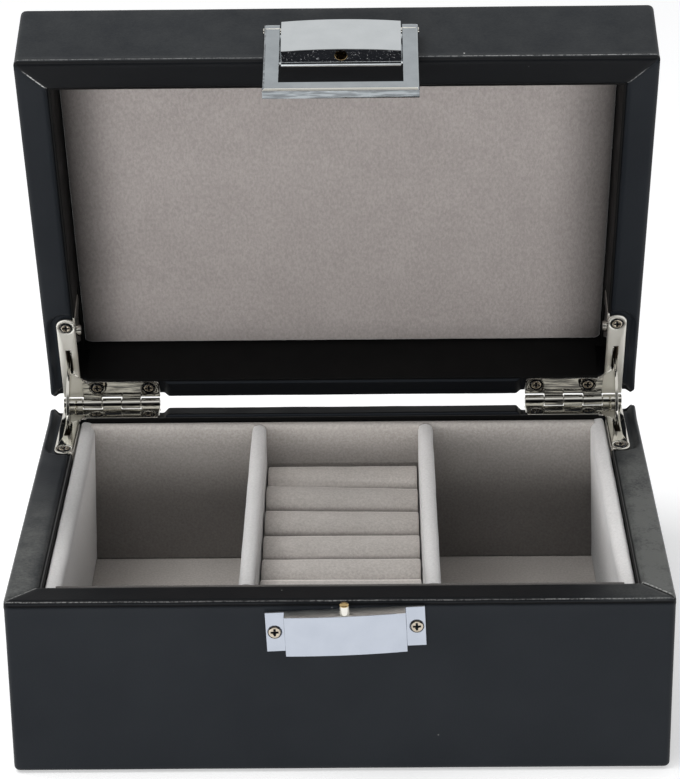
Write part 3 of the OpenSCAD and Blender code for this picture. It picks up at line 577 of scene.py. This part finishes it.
def worn_and_highlit_line(p, rim_z, far_z, shell):
    """Distance in millimetres from the nearest rubbed edge or seam, and how rubbed it is; the line along the
    rim's outer edge is partly painted highlight.
    """
    edge_x, edge_y = BOX_W / 2 - abs(p.x), BOX_D / 2 - abs(p.y)
    outer = min(edge_x, edge_y)
    from_rim, from_far = abs(p.z - rim_z), abs(p.z - far_z)
    patch = 0.45 + 0.55 * smoothstep(-0.25, 0.3, wave(p, 23 * MM, SKIN_SEEDS[shell]))
    lines = [(abs(outer - from_far) * 0.8, 0.12 * patch)]
    # The line along the rim's outer edge: rubbed, and partly a painted highlight.
    if shell == "lid":
        strength = 0.2 + 0.1 * patch + 0.18 * smoothstep(0, 60 * MM, p.x)
        lines.append((abs(outer - from_rim + 2.2 * MM), strength))
    else:
        lines.append((abs(outer - from_rim) * 0.8, 0.3 * patch))
    if from_rim < 0.8 * MM:
        seam_d, along = mitre_distance(p.x, p.y)
        seam_d = math.copysign(seam_d, edge_y - edge_x)
        front_right = p.x > 0 and p.y < 0
        strength, start = SEAMS[shell][0 if p.y > 0 else 2 if front_right else 1]
        if front_right and shell == "base":
            seam_d -= 0.6 * MM
        lines.append((abs(seam_d) * 1.1, strength * smoothstep(start, start + 0.3, along)))
    distance, strength = min(lines)
    return distance / MM, strength


def on_side_rim(p):
    """1 on the rim's pieces along the sides, 0 on those along the front and back, split at the mitres."""
    return smoothstep(-0.3 * MM, 0.3 * MM, (BOX_D / 2 - abs(p.y)) - (BOX_W / 2 - abs(p.x)))


def haze_at(p, rim_z):
    """How pale and hazy the top of the rim is: along the middle of both sides, more to the front and on the
    right.
    """
    on_top = 1 - smoothstep(0.2 * MM, 2 * MM, abs(p.z - rim_z))
    inset = BOX_W / 2 - abs(p.x)
    middle = smoothstep(0, 2.5 * MM, inset) * (1 - smoothstep(6 * MM, 9 * MM, inset))
    if p.x < 0:
        return on_top * on_side_rim(p) * 0.62 * smoothstep(20 * MM, -40 * MM, p.y) * (0.6 + 0.4 * middle)
    side = on_side_rim(p) * smoothstep(60 * MM, -10 * MM, p.y) * (0.75 + 0.5 * middle)
    front = 0.32 * (1 - on_side_rim(p)) * smoothstep(68 * MM, 92 * MM, p.x) if p.y < 0 else 0.0
    return on_top * (side + front)


def lid_painted_sheen_at(p):
    """Painted sheen on the lid: a little at its front, nowhere else."""
    return 0.10 if p.y < -BOX_D / 2 + 0.4 * MM else 0.0


def painted_shade_at(p, rim_z, far_z, shell):
    """Painted shade: how dark a point is deep inside the walls, in the fold under the rim, on the rim's front
    and back pieces, and in the groove of the base's front right seam.
    """
    inside = abs(p.x) < INNER_W / 2 + 0.7 * MM and abs(p.y - INNER_Y) < INNER_D / 2 + 0.7 * MM
    depth = abs(p.z - rim_z)
    if inside and abs(p.z - far_z) > 1 * MM:
        return smoothstep(0, 2 * MM, depth)
    flat = 1 - smoothstep(0.8 * MM, 1.4 * MM, depth)
    across = 0.75 * (1 - on_side_rim(p)) * flat
    fold = bell(depth - FOLD_DEPTHS[shell], 0.55 * MM)
    if shell == "lid" or p.y >= 0:
        return max(fold, across)
    across *= 1 - 0.75 * smoothstep(62 * MM, 90 * MM, p.x)
    seam = 0.95 * flat * bell(mitre_distance(p.x, p.y)[0], 0.5 * MM) if p.x > 0 else 0.0
    return max(fold, across, seam)


def skin(shell, bottom, top, inner_end, closing=()):
    """Leatherette over the ring of walls of the base or the lid, shaped with its rim up.

    closing holds the insets of more rows, with which it also closes over the far side of the walls. The
    lid's skin is then turned upside down, so that its rim is below and its closed side on top.
    """
    columns = skin_columns(bottom, top, inner_end, closing)
    verts, marks = [], {"line": [], "wear_and_highlight": [], "haze_and_sheen": [], "shade": []}
    for p in (p for column in columns for p in column):
        q, sink = shape_skin(p, top, shell)
        verts.append(Vector((q.x, q.y, q.z - sink)))
        distance, strength = worn_and_highlit_line(p, top, bottom, shell)
        marks["line"].append(distance)
        marks["wear_and_highlight"].append(strength)
        marks["haze_and_sheen"].append(lid_painted_sheen_at(p) if shell == "lid" else haze_at(p, top))
        marks["shade"].append(painted_shade_at(p, top, bottom, shell))
    n, m = len(columns), len(columns[0])
    faces = []
    for i in range(n):
        near, far = i * m, (i + 1) % n * m
        for j in range(m - 1):
            quad = (near + j, far + j, far + j + 1, near + j + 1)
            if not in_stay_slot(sum((verts[k] for k in quad), Vector()) / 4, top):
                faces.append(quad)
    if closing:
        faces.append(tuple(i * m for i in range(n))[::-1])
    if shell == "lid":
        verts = [Vector((v.x, v.y, LID_Z + top - v.z)) for v in verts]
    obj = add(f"{shell}_skin", verts, faces, "leatherette", shell, shell == "lid")
    for kind, values in marks.items():
        mark(obj, kind, values)
    thick = obj.modifiers.new("thickness", "SOLIDIFY")
    thick.thickness = SKIN_T
    thick.offset = -1
    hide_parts(f"{shell}_cover")


def in_stay_slot(p, rim_z):
    """True on the rim where a stay passes through the leatherette."""
    y = p.y - AXIS.y
    return abs(abs(p.x) - LEG_MID_X) < SLOT_HALF and -SLOT_TO < y < -SLOT_FROM and abs(p.z - rim_z) < 3 * MM


# ---------- velvet pads ----------

# How far beyond a rounding the next row of points lies, which keeps the flat part beside it flat
HOLD = 0.35 * MM

# Distances between the rows of points on a panel and on the floor
PANEL_PITCH, FLOOR_PITCH = 3 * MM, 4 * MM

# Side linings: how far the rounding on top reaches in from outside and inside and down, and their bead
OUTER_EDGE, INNER_EDGE, EDGE_DOWN = 0.9 * MM, 2.5 * MM, 2.4 * MM
SIDE_BEAD = 1.5 * MM

# Ring rolls: exponent of the arch, 2 for round and more for squarish, its height, and how deep they lie
ROLL_SQUARE, ROLL_RISE, ROLL_SINK = 2.4, 7 * MM, 1.1 * MM
ROLL_COUNT, ROLL_STEPS, ROLL_COLUMNS = 7, 40, 28

# How some rolls sit off their place: left end up, whole roll up, and back
ROLL_QUIRKS = {2: {"left_up": 1.6 * MM}, 3: {"left_up": 0.9 * MM}, 6: {"up": 0.5 * MM, "back": 1.2 * MM}}


def spaced(low, high, r_low, r_high, pitch):
    """Coordinates from low to high, close together within r_low and r_high of the ends."""
    bends = [1 - math.cos(math.radians(a)) for a in (0, 25, 45, 65, 90)]
    inner = high - low - r_low - r_high
    count = max(1, round(inner / pitch))
    middle = [low + r_low + inner * i / count for i in range(1, count)]
    if inner / count > 1 * MM:
        middle = [low + r_low + HOLD] + middle + [high - r_high - HOLD]
    return [low + r_low * b for b in bends] + middle + [high - r_high * b for b in reversed(bends)]


def block(low, high, r_low, r_high, pitch):
    """Vertices and faces of a box with rounded edges, from a grid on its six sides.

    r_low and r_high hold how far the rounding reaches in from the low and high side of each axis.
    """
    axes = [spaced(low[i], high[i], r_low[i], r_high[i], pitch) for i in range(3)]
    index, verts, faces = {}, [], []

    def rounded(p):
        core, scaled, reach = Vector(), Vector(), Vector()
        for a in range(3):
            core[a] = max(low[a] + r_low[a], min(high[a] - r_high[a], p[a]))
            reach[a] = r_low[a] if p[a] < core[a] else r_high[a]
            scaled[a] = (p[a] - core[a]) / reach[a]
        if scaled.length < 1e-9:
            return p
        scaled.normalize()
        return core + Vector(s * r for s, r in zip(scaled, reach))

    def vertex(i, j, k):
        key = (i, j, k)
        if key not in index:
            index[key] = len(verts)
            verts.append(rounded(Vector((axes[0][i], axes[1][j], axes[2][k]))))
        return index[key]

    n = [len(a) - 1 for a in axes]
    for a in range(3):
        b, c = (a + 1) % 3, (a + 2) % 3
        for end in (0, n[a]):
            for i in range(n[b]):
                for j in range(n[c]):
                    quad = []
                    for di, dj in ((0, 0), (1, 0), (1, 1), (0, 1)):
                        key = [0, 0, 0]
                        key[a], key[b], key[c] = end, i + di, j + dj
                        quad.append(vertex(*key))
                    faces.append(quad if end else quad[::-1])
    return verts, faces


def pad(name, node, body, slot, radii, pitch, crown, seed, painted_shading, bead=0.0, limits=None):
    """Soft panel in the place of a CAD panel: rounded, crowned on its wide faces and a little uneven.

    The given function says how much lighter or darker the velvet is painted at a point, as painted light and
    shade, and bead is how much thicker the top edge is on its inner face.
    limits are the corners of the panel for the shut lid, given only for a panel in the lid.
    """
    low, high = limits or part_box(node)
    verts, faces = block(low, high, *radii, pitch)
    size, mid = high - low, (low + high) / 2
    thin = min(range(3), key=lambda a: size[a])
    wide = [a for a in range(3) if a != thin]
    inward = -math.copysign(1, mid.x)
    full_bead_z = high.z - 3 * MM
    moved = []
    for p in verts:
        u = [(p[a] - mid[a]) / (size[a] / 2) for a in wide]
        fullness = max(0.0, 1 - u[0] ** 4) * max(0.0, 1 - u[1] ** 4)
        side = (p[thin] - mid[thin]) / (size[thin] / 2)
        share = 0.5 + 0.5 * side * inward
        risen = min(1.0, (p.z - low.z) / (full_bead_z - low.z))
        q = p.copy()
        q[thin] += side * (crown * (fullness - 1) + 0.12 * MM * wave(p, 9 * MM, seed))
        q[thin] += inward * bead * share * risen
        moved.append(q)
    obj = add(name, moved, faces, slot, body, limits is not None)
    mark(obj, "painted_shading", [painted_shading(p) for p in moved])
    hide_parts(node)


def lining(name, node, slot, seed, painted_shading, bead=0.0, edges=None):
    """Lining panel or divider: padded board covered in velvet, round on top and butted at its ends.

    edges is how far the rounding on top reaches in from the low side, from the high side and down.
    """
    low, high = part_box(node)
    size = high - low
    along = 0 if size.x > size.y else 1
    across = 1 - along
    butt_r = 0.1 * MM
    low_edge, high_edge, down = edges or (size[across] * 0.45,) * 3
    r_low, r_high = Vector((0, 0, butt_r)), Vector((0, 0, down))
    r_low[across], r_high[across] = low_edge, high_edge
    r_low[along] = r_high[along] = butt_r
    pad(name, node, "base", slot, (r_low, r_high), PANEL_PITCH, 0.1 * MM, seed, painted_shading, bead)


def back_painted_shading(p):
    """Painted light and shade on the back wall: lighter near the top, painted darker down in the
    compartments.
    """
    depth = LINING_TOP_Z - p.z
    beside_rolls = abs(p.x) < 28 * MM
    if beside_rolls:
        return 0.22 - 0.5 * smoothstep(0, 14 * MM, depth)
    return 0.18 - 0.3 * smoothstep(0, 9 * MM, depth) - 0.38 * smoothstep(6 * MM, 34 * MM, depth)


def at_back(p, amount):
    """Painted light: an amount that comes in towards the back of the box, where less light gets in."""
    return amount * smoothstep(-20 * MM, 55 * MM, p.y)


def side_painted_shading(p, top, face, fall):
    """Painted light and shade on a side lining: lightness on top, palest just under the edge, and how much it
    is painted darker below.
    """
    depth = LINING_TOP_Z - p.z
    under_edge = (face - top) * smoothstep(0.2 * MM, 6 * MM, depth)
    return top + under_edge - fall * smoothstep(6 * MM, 40 * MM, depth) + at_back(p, 0.22)


def left_painted_shading(p):
    """Painted light and shade on the left lining: its top is painted darker towards the middle of the box."""
    return side_painted_shading(p, 0.05 - 0.4 * smoothstep(-45 * MM, 0, p.y), 0.22 + at_back(p, 0.3), 0.66)


def right_painted_shading(p):
    """Painted light and shade on the right lining: brighter on its face, and falling off more."""
    return side_painted_shading(p, 0.2 - at_back(p, 0.1), 0.36, 1.2)


def roll_section(half_w, rise, drop):
    """Points (y, z) round a roll: a squarish arch over straight sides and a flat underside."""
    points = []
    for i in range(ROLL_STEPS + 1):
        a = math.pi * i / ROLL_STEPS
        c, s = math.cos(a), math.sin(a)
        y = math.copysign(abs(c) ** (2 / ROLL_SQUARE), c) * half_w
        points.append((y, max(0.0, s) ** (2 / ROLL_SQUARE) * rise))
    foot_w = half_w * 0.96
    return points + [(-half_w, -drop / 2), (-foot_w, -drop), (foot_w, -drop), (half_w, -drop / 2)]


def roll(index, seed, painted_shading, back=0.0, up=0.0, left_up=0.0):
    """Ring roll: a foam bar wrapped in velvet, cut off square at its ends.

    The third argument says how much lighter its velvet is painted, as painted light; back and up say how it
    sits off its place, and left_up how much higher its left end is.
    """
    node = f"ring_roll_{index}"
    low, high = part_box(node)
    mid_y, half_w, length = (low.y + high.y) / 2, (high.y - low.y) / 2, high.x - low.x
    shoulder = high.z - ROLL_SINK - ROLL_RISE
    section = roll_section(half_w, ROLL_RISE, shoulder - low.z)
    ends = [0, 0.12 * MM, 0.5 * MM, 1.5 * MM]
    pitch = (length - 2 * ends[-1]) / ROLL_COLUMNS
    middle = [ends[-1] + pitch * i for i in range(1, ROLL_COLUMNS)]
    stops = ends + middle + [length - x for x in reversed(ends)]
    verts, faces = [], []
    for x in stops:
        from_end = min(x, length - x)
        inset = 0.3 * MM * (1 - min(1.0, from_end / (0.5 * MM))) ** 2
        raised = up + left_up * (1 - x / length)
        for y, z in section:
            p = Vector((low.x + x, mid_y + y * (1 - inset / half_w), shoulder + (z - inset if z > 0 else z)))
            full = max(0.0, min(1.0, z / ROLL_RISE))
            p.z += full * (raised + 0.16 * MM * wave(p, 11 * MM, seed))
            p.y += full * (back + 0.12 * MM * wave(p, 8 * MM, seed + 2))
            verts.append(p)
    n = len(section)
    for i in range(len(stops) - 1):
        for j in range(n):
            k = (j + 1) % n
            faces.append((i * n + j, i * n + k, (i + 1) * n + k, (i + 1) * n + j))
    faces.append(tuple(range(n))[::-1])
    faces.append(tuple((len(stops) - 1) * n + j for j in range(n)))
    obj = add(f"roll_{index}", verts, faces, "velvet", "base")
    mark(obj, "painted_shading", [painted_shading + roll_painted_shading((p.y - mid_y) / half_w) for p in verts])
    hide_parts(node)


def roll_painted_shading(across):
    """Painted shade in the crease before a roll and painted light beyond its crest. across is -1 to 1 from
    front to back.
    """
    crease = 0.8 * (1 - smoothstep(-0.93, -0.78, across)) + 0.17 * (1 - smoothstep(-0.8, 0.2, across))
    return 0.65 * smoothstep(0.35, 0.5, across) - crease


def lid_panel():
    """Velvet-covered panel in the lid, turned back from its open place to be shaped, then opened again."""
    back = TO_OPEN.inverted()
    points = [back @ v.co for v in frame["nodes"]["lid_panel"].data.vertices]
    low = Vector(min(p[a] for p in points) for a in range(3))
    high = Vector(max(p[a] for p in points) for a in range(3))

    # Painted shade: darker towards the sides, in the shade of the lid's walls, and near the ends.
    def painted_shading(p):
        from_side = high.x - abs(p.x)
        from_end = min(p.y - low.y, high.y - p.y)
        in_shade = 0.78 * (1 - smoothstep(-4 * MM, 22 * MM, from_side))
        return -in_shade - 0.15 * (1 - smoothstep(0, 12 * MM, from_end))

    r = Vector((3 * MM, 1.2 * MM, 2 * MM))
    pad(
        "lid_pad", "lid_panel", "lid", "lid_velvet", (r, r), PANEL_PITCH, 0.6 * MM, 31.0, painted_shading,
        limits=(low, high),
    )


# ---------- metal pieces with broken edges ----------

# Rounding of a folded sheet, of a sharp edge and of a leaf's edge; SHARP is the least angle of an edge
BEND_R, BREAK_R, LEAF_BREAK_R = 0.7 * MM, 0.12 * MM, 0.2 * MM
SHARP = math.radians(27)

# Points of the CAD mesh closer than WELD become one, and edges flatter than FLAT are dropped
WELD, FLAT = 0.002 * MM, math.radians(0.6)


def sharp_edges(bm):
    """Edges between two faces that meet at more than SHARP."""
    return [e for e in bm.edges if len(e.link_faces) == 2 and e.calc_face_angle() > SHARP]


def break_edges(bm, edges, radius, steps=1):
    """Rounds edges in so many steps."""
    bmesh.ops.bevel(
        bm, geom=edges, offset=radius, offset_type="OFFSET", segments=steps, profile=0.5,
        affect="EDGES", clamp_overlap=False,
    )
    bm.normal_update()


def bevelled(node, marks=(), radius=BREAK_R, folded=None, split=None):
    """Copy of a CAD piece that stays where it is, with its sharp edges broken so that they catch light.

    marks are (attribute, test) pairs, with test(centre, normal) given for the shut lid. folded(points)
    is true for an edge at which the sheet is folded, with its ends given for the shut lid, and gives it
    a wider rounding. split is an axis and the place along it at which the faces are parted, so that a
    mark can end there.
    """
    bm = bmesh.new()
    bm.from_mesh(frame["nodes"][node].data)
    bmesh.ops.remove_doubles(bm, verts=bm.verts, dist=WELD)
    bmesh.ops.dissolve_limit(bm, angle_limit=FLAT, verts=bm.verts, edges=bm.edges)
    if split:
        axis, place = split
        across = Vector(float(a == axis) for a in range(3))
        every = bm.verts[:] + bm.edges[:] + bm.faces[:]
        bmesh.ops.bisect_plane(bm, geom=every, plane_co=across * place, plane_no=across)
    shut = TO_OPEN.inverted() if BODY_OF[node] in ("lid", "bail") else Matrix()
    spin = shut.to_3x3()
    for name, test in marks:
        layer = bm.faces.layers.float.new(name)
        for face in bm.faces:
            face[layer] = float(test(shut @ face.calc_center_median(), spin @ face.normal))
    bmesh.ops.triangulate(bm, faces=bm.faces)
    bm.normal_update()
    if folded:
        folds = [e for e in sharp_edges(bm) if folded([shut @ v.co for v in e.verts])]
        break_edges(bm, folds, BEND_R, 4)
    break_edges(bm, sharp_edges(bm), radius)
    obj = piece(f"{node}_shown", bm, BODY_OF[node], LOOK_OF[node])
    obj.modifiers.new("normals", "WEIGHTED_NORMAL").weight = 90
    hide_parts(node)


def is_flange_fold(points):
    """An edge where a leaf's flange is folded down from its face."""
    return all(
        abs(abs(p.z - AXIS.z) - LEAF_BELOW_AXIS) <= 0.05 * MM
        and abs(abs(p.x) - LEAF_X + LEG_W) <= 0.05 * MM
        for p in points
    )


def is_end_face(centre, normal):
    """The rough casting at the latch body's lower end."""
    return normal.z < -0.9 and centre.y < -BOX_D / 2 - 2 * MM


def in_pin_hole(centre, normal):
    """The wall of the latch body's hole for the keeper pin."""
    return math.hypot(centre.x - LATCH_X, centre.y - PIN_Y) < PIN_HOLE_R + 0.1 * MM and abs(normal.z) < 0.5


def is_back_leg(centre, normal):
    """The face of a lid leaf's leg along the back, painted dark as painted dark reflection."""
    return 0.9 if normal.z < -0.9 and abs(centre.x) < SIDE_LEG_X else 0.0


def is_knuckle_front(centre, normal, turn=0.0):
    """The strip along the knuckles, painted dark as a painted reflection of the dark room in front. turn is
    the lid's angle.
    """
    on_knuckle = math.hypot(centre.y - AXIS.y, centre.z - AXIS.z) < 4 * MM and abs(normal.x) < 0.3
    facing_up = math.degrees(math.atan2(normal.z, -normal.y)) + turn
    return 2.0 if on_knuckle and 0 < (facing_up + 180) % 360 - 180 < 22 else 0.0


def on_lid_leaf(centre, normal):
    """Painted dark reflection on a lid leaf: its leg along the back and the front of its knuckles."""
    return max(is_back_leg(centre, normal), is_knuckle_front(centre, normal, math.degrees(OPEN_ANGLE)))


def is_side_leg(centre, normal):
    """The face of a lid leaf's leg along the side, dulled by handling and painted paler as a painted
    highlight.
    """
    return normal.z < -0.9 and abs(centre.x) > SIDE_LEG_X


def is_bail_bevel(centre, normal):
    """The bevel along the front of the bail's lower edge, painted paler as a painted highlight."""
    return -0.9 < normal.z < -0.4 and normal.y < -0.4


def is_pin_tip(centre, normal):
    """The keeper pin's worn tip."""
    return centre.z > PIN_TIP_Z


def is_keeper_top(centre, normal):
    """The top of the keeper's bar, less smooth than its front and painted paler as a painted highlight."""
    return 0.7 if normal.z > 0.9 else 0.0


def is_bail_side(centre, normal):
    """The underside of the bail's bar and the left bevel of its arms, painted dark as painted dark
    reflection.
    """
    return 0.6 if normal.z < -0.9 or -0.9 < normal.x < -0.5 else 0.0


def is_top(centre, normal):
    """The upper edge of the card lip, painted a little paler as a painted highlight."""
    return normal.z > 0.9


def in_hinge_cross(centre, normal):
    """The rim and the cross slot of a screw in a hinge leaf, painted dark as painted shade."""
    below = abs(centre.z - AXIS.z) - LEAF_BELOW_AXIS
    return below < 1.2 * MM and (abs(normal.z) < 0.6 or below > 0.12 * MM)


def in_plate_cross(centre, normal):
    """The rim and the cross slot of a screw in the latch's or keeper's plate, painted dark as painted shade.
    """
    out = -BOX_D / 2 - centre.y
    return out > 0.3 * MM and (abs(normal.y) < 0.6 or out < 1.15 * MM)


# ---------- the box ----------

# Every CAD node that stays gets its look here; the others are replaced below.
for node, obj in frame["nodes"].items():
    obj.data.materials.clear()
    obj.data.materials.append(MATERIALS[LOOK_OF[node]])

skin("base", BOTTOM_Z, BASE_H, SKIN_END_Z)
skin("lid", LID_Z, LID_TOP_Z, LID_Z + LID_TOP_Z - LID_BOARD_TOP_Z, LID_TOP_INSETS)

# The floor pad's velvet is painted lighter all over, as painted light.
floor_r = Vector((0.3, 0.3, 0.3)) * MM
pad(
    "floor_pad", "floor_lining", "base", "velvet", (floor_r, floor_r), FLOOR_PITCH, 0.2 * MM, 1.0,
    lambda p: 0.35,
)
# The front pad's velvet is painted darker all over, as painted shade.
lining("front_pad", "front_lining", "velvet", 5.0, lambda p: -0.7, edges=(1.6 * MM, 0.5 * MM, 0.5 * MM))
lining("back_pad", "back_lining", "velvet", 8.0, back_painted_shading)
left_edges, right_edges = (OUTER_EDGE, INNER_EDGE, EDGE_DOWN), (INNER_EDGE, OUTER_EDGE, EDGE_DOWN)
lining("left_pad", "left_lining", "pale_velvet", 11.0, left_painted_shading, SIDE_BEAD, left_edges)
lining("right_pad", "right_lining", "pale_velvet", 14.0, right_painted_shading, SIDE_BEAD, right_edges)
# The dividers are painted lighter towards the back, as painted light.
lining("left_division", "left_divider", "pale_velvet", 17.0, lambda p: at_back(p, 0.35))
lining("right_division", "right_divider", "pale_velvet", 20.0, lambda p: 0.05 + at_back(p, 0.4))
# Each roll's velvet is painted lighter, the first the most, as painted light.
for i in range(1, ROLL_COUNT + 1):
    roll(i, 40.0 + i, 0.72 if i == 1 else 0.5, **ROLL_QUIRKS.get(i, {}))
lid_panel()

# Dark marks on the leaves and the bail are painted dark reflections.
for side, sign in (("left", -1), ("right", 1)):
    bevelled(f"base_leaf_{side}", (("dim", is_knuckle_front),), LEAF_BREAK_R, is_flange_fold)
    lid_marks = (("satin", is_side_leg), ("dim", on_lid_leaf))
    bevelled(f"lid_leaf_{side}", lid_marks, LEAF_BREAK_R, is_flange_fold, (0, sign * SIDE_LEG_X))
    bevelled(f"stay_{side}")
# The screws' cross slots and rims are painted dark, as painted shade.
bevelled("base_hinge_screws", (("casting_and_shade", in_hinge_cross),))
bevelled("lid_hinge_screws", (("casting_and_shade", in_hinge_cross),))
bevelled("keeper_screws", (("casting_and_shade", in_plate_cross),))
# The keeper's top and the bail's bevel are painted paler, as painted highlights.
bevelled("keeper", (("satin", is_keeper_top),))
bevelled("keeper_pin", (("brass", is_pin_tip),), split=(2, PIN_TIP_Z))
bevelled("latch_body", (("casting_and_shade", is_end_face), ("brass", in_pin_hole)))
bevelled("bail", (("dim", is_bail_side), ("satin", is_bail_bevel)))
bevelled("base_lip", (("wear_and_highlight", is_top),))


# ---------- studio ----------

# How much the floor is lifted towards white where it is seen directly, and the strength of the soft fill
FLOOR_LIFT, FILL = 0.42, 0.42


def floor():
    """Plain floor that the camera, mirrors and glass see as white, less the object's own shadow."""
    t = Material("floor")
    t.set(Base_Color=(0.80, 0.80, 0.80, 1), Roughness=0.9, Specular_IOR_Level=0.1)
    t.set(Emission_Color=(1, 1, 1, 1), Emission_Strength=t.math("MULTIPLY", t.seen_directly(), FLOOR_LIFT))
    mesh = bpy.data.meshes.new("floor")
    r = 3.0
    mesh.from_pydata([(-r, -r, 0), (r, -r, 0), (r, r, 0), (-r, r, 0)], [], [(0, 1, 2, 3)])
    mesh.materials.append(t.mat)
    obj = bpy.data.objects.new("floor", mesh)
    bpy.context.scene.collection.objects.link(obj)


def world():
    """A plain soft fill, seen as white, but for a room in front of the box: dark low down, then dim."""
    w = bpy.data.worlds.new("studio")
    bpy.context.scene.world = w
    w.use_nodes = True
    t = Nodes(w.node_tree)
    t.nodes.clear()
    fill, white = t.nodes.new("ShaderNodeBackground"), t.nodes.new("ShaderNodeBackground")
    fill.inputs["Color"].default_value = (0.97, 0.98, 1, 1)
    fill.inputs["Strength"].default_value = FILL
    axes = t.nodes.new("ShaderNodeSeparateXYZ")
    t.put(axes.inputs[0], t.nodes.new("ShaderNodeTexCoord").outputs["Generated"])
    in_front = t.span(axes.outputs["Y"], -0.5, -0.3, 1.0, 0.0)
    low_edge = t.span(axes.outputs["Z"], 0.3, 0.42, -0.96, -0.8)
    high_edge = t.span(axes.outputs["Z"], 0.6, 0.72, 0.0, 0.8)
    darker = t.math("MULTIPLY", in_front, t.math("ADD", low_edge, high_edge))
    t.put(white.inputs["Strength"], t.math("ADD", darker, 1.0))
    pick, out = t.nodes.new("ShaderNodeMixShader"), t.nodes.new("ShaderNodeOutputWorld")
    t.put(pick.inputs[0], t.seen_directly())
    t.put(pick.inputs[1], fill.outputs[0])
    t.put(pick.inputs[2], white.outputs[0])
    t.put(out.inputs[0], pick.outputs[0])


def lamp(name, place, aim, size, power):
    """Rectangular lamp, aimed at a point, that no mirror shows."""
    data = bpy.data.lights.new(name, "AREA")
    data.shape = "RECTANGLE"
    data.size, data.size_y = size
    data.energy = power
    obj = bpy.data.objects.new(name, data)
    obj.location = place
    obj.rotation_euler = (Vector(aim) - Vector(place)).to_track_quat("-Z", "Y").to_euler()
    obj.visible_glossy = False
    bpy.context.scene.collection.objects.link(obj)


# The camera as fitted to the photo, whose height in pixels is PHOTO_H
CAMERA_PLACE = Vector((10.43, -807.39, 447.16)) * MM
DOWN, TO_LEFT, ROLLED = math.radians(23.501), math.radians(0.730), math.radians(-0.749)
FOCAL_PX, PHOTO_H = 2803.7, 779


def camera():
    """Camera in its fitted place; the sensor's long side is the picture's height."""
    cp, sp = math.cos(DOWN), math.sin(DOWN)
    right = Vector((math.cos(TO_LEFT), math.sin(TO_LEFT), 0))
    ahead = Vector((-math.sin(TO_LEFT), math.cos(TO_LEFT), 0))
    up = Vector((0, 0, 1))
    forward = cp * ahead - sp * up
    upward = sp * ahead + cp * up
    cr, sr = math.cos(ROLLED), math.sin(ROLLED)
    x = cr * right + sr * upward
    y = -sr * right + cr * upward
    data = bpy.data.cameras.new("camera")
    data.sensor_width = 36
    data.lens = FOCAL_PX / PHOTO_H * data.sensor_width
    data.clip_start, data.clip_end = 0.05, 20
    obj = bpy.data.objects.new("camera", data)
    obj.matrix_world = Matrix.Translation(CAMERA_PLACE) @ Matrix((x, y, -forward)).transposed().to_4x4()
    bpy.context.scene.collection.objects.link(obj)
    bpy.context.scene.camera = obj


floor()
world()
lamp("front", (-0.35, -1.5, 0.25), (0, 0, 0.08), (1.5, 0.3), 17)
lamp("top", (-0.45, -0.1, 1.3), (0, 0, 0.05), (0.9, 0.9), 11)
camera()
bpy.context.scene.view_settings.view_transform = "Standard"

bpy.context.view_layer.update()
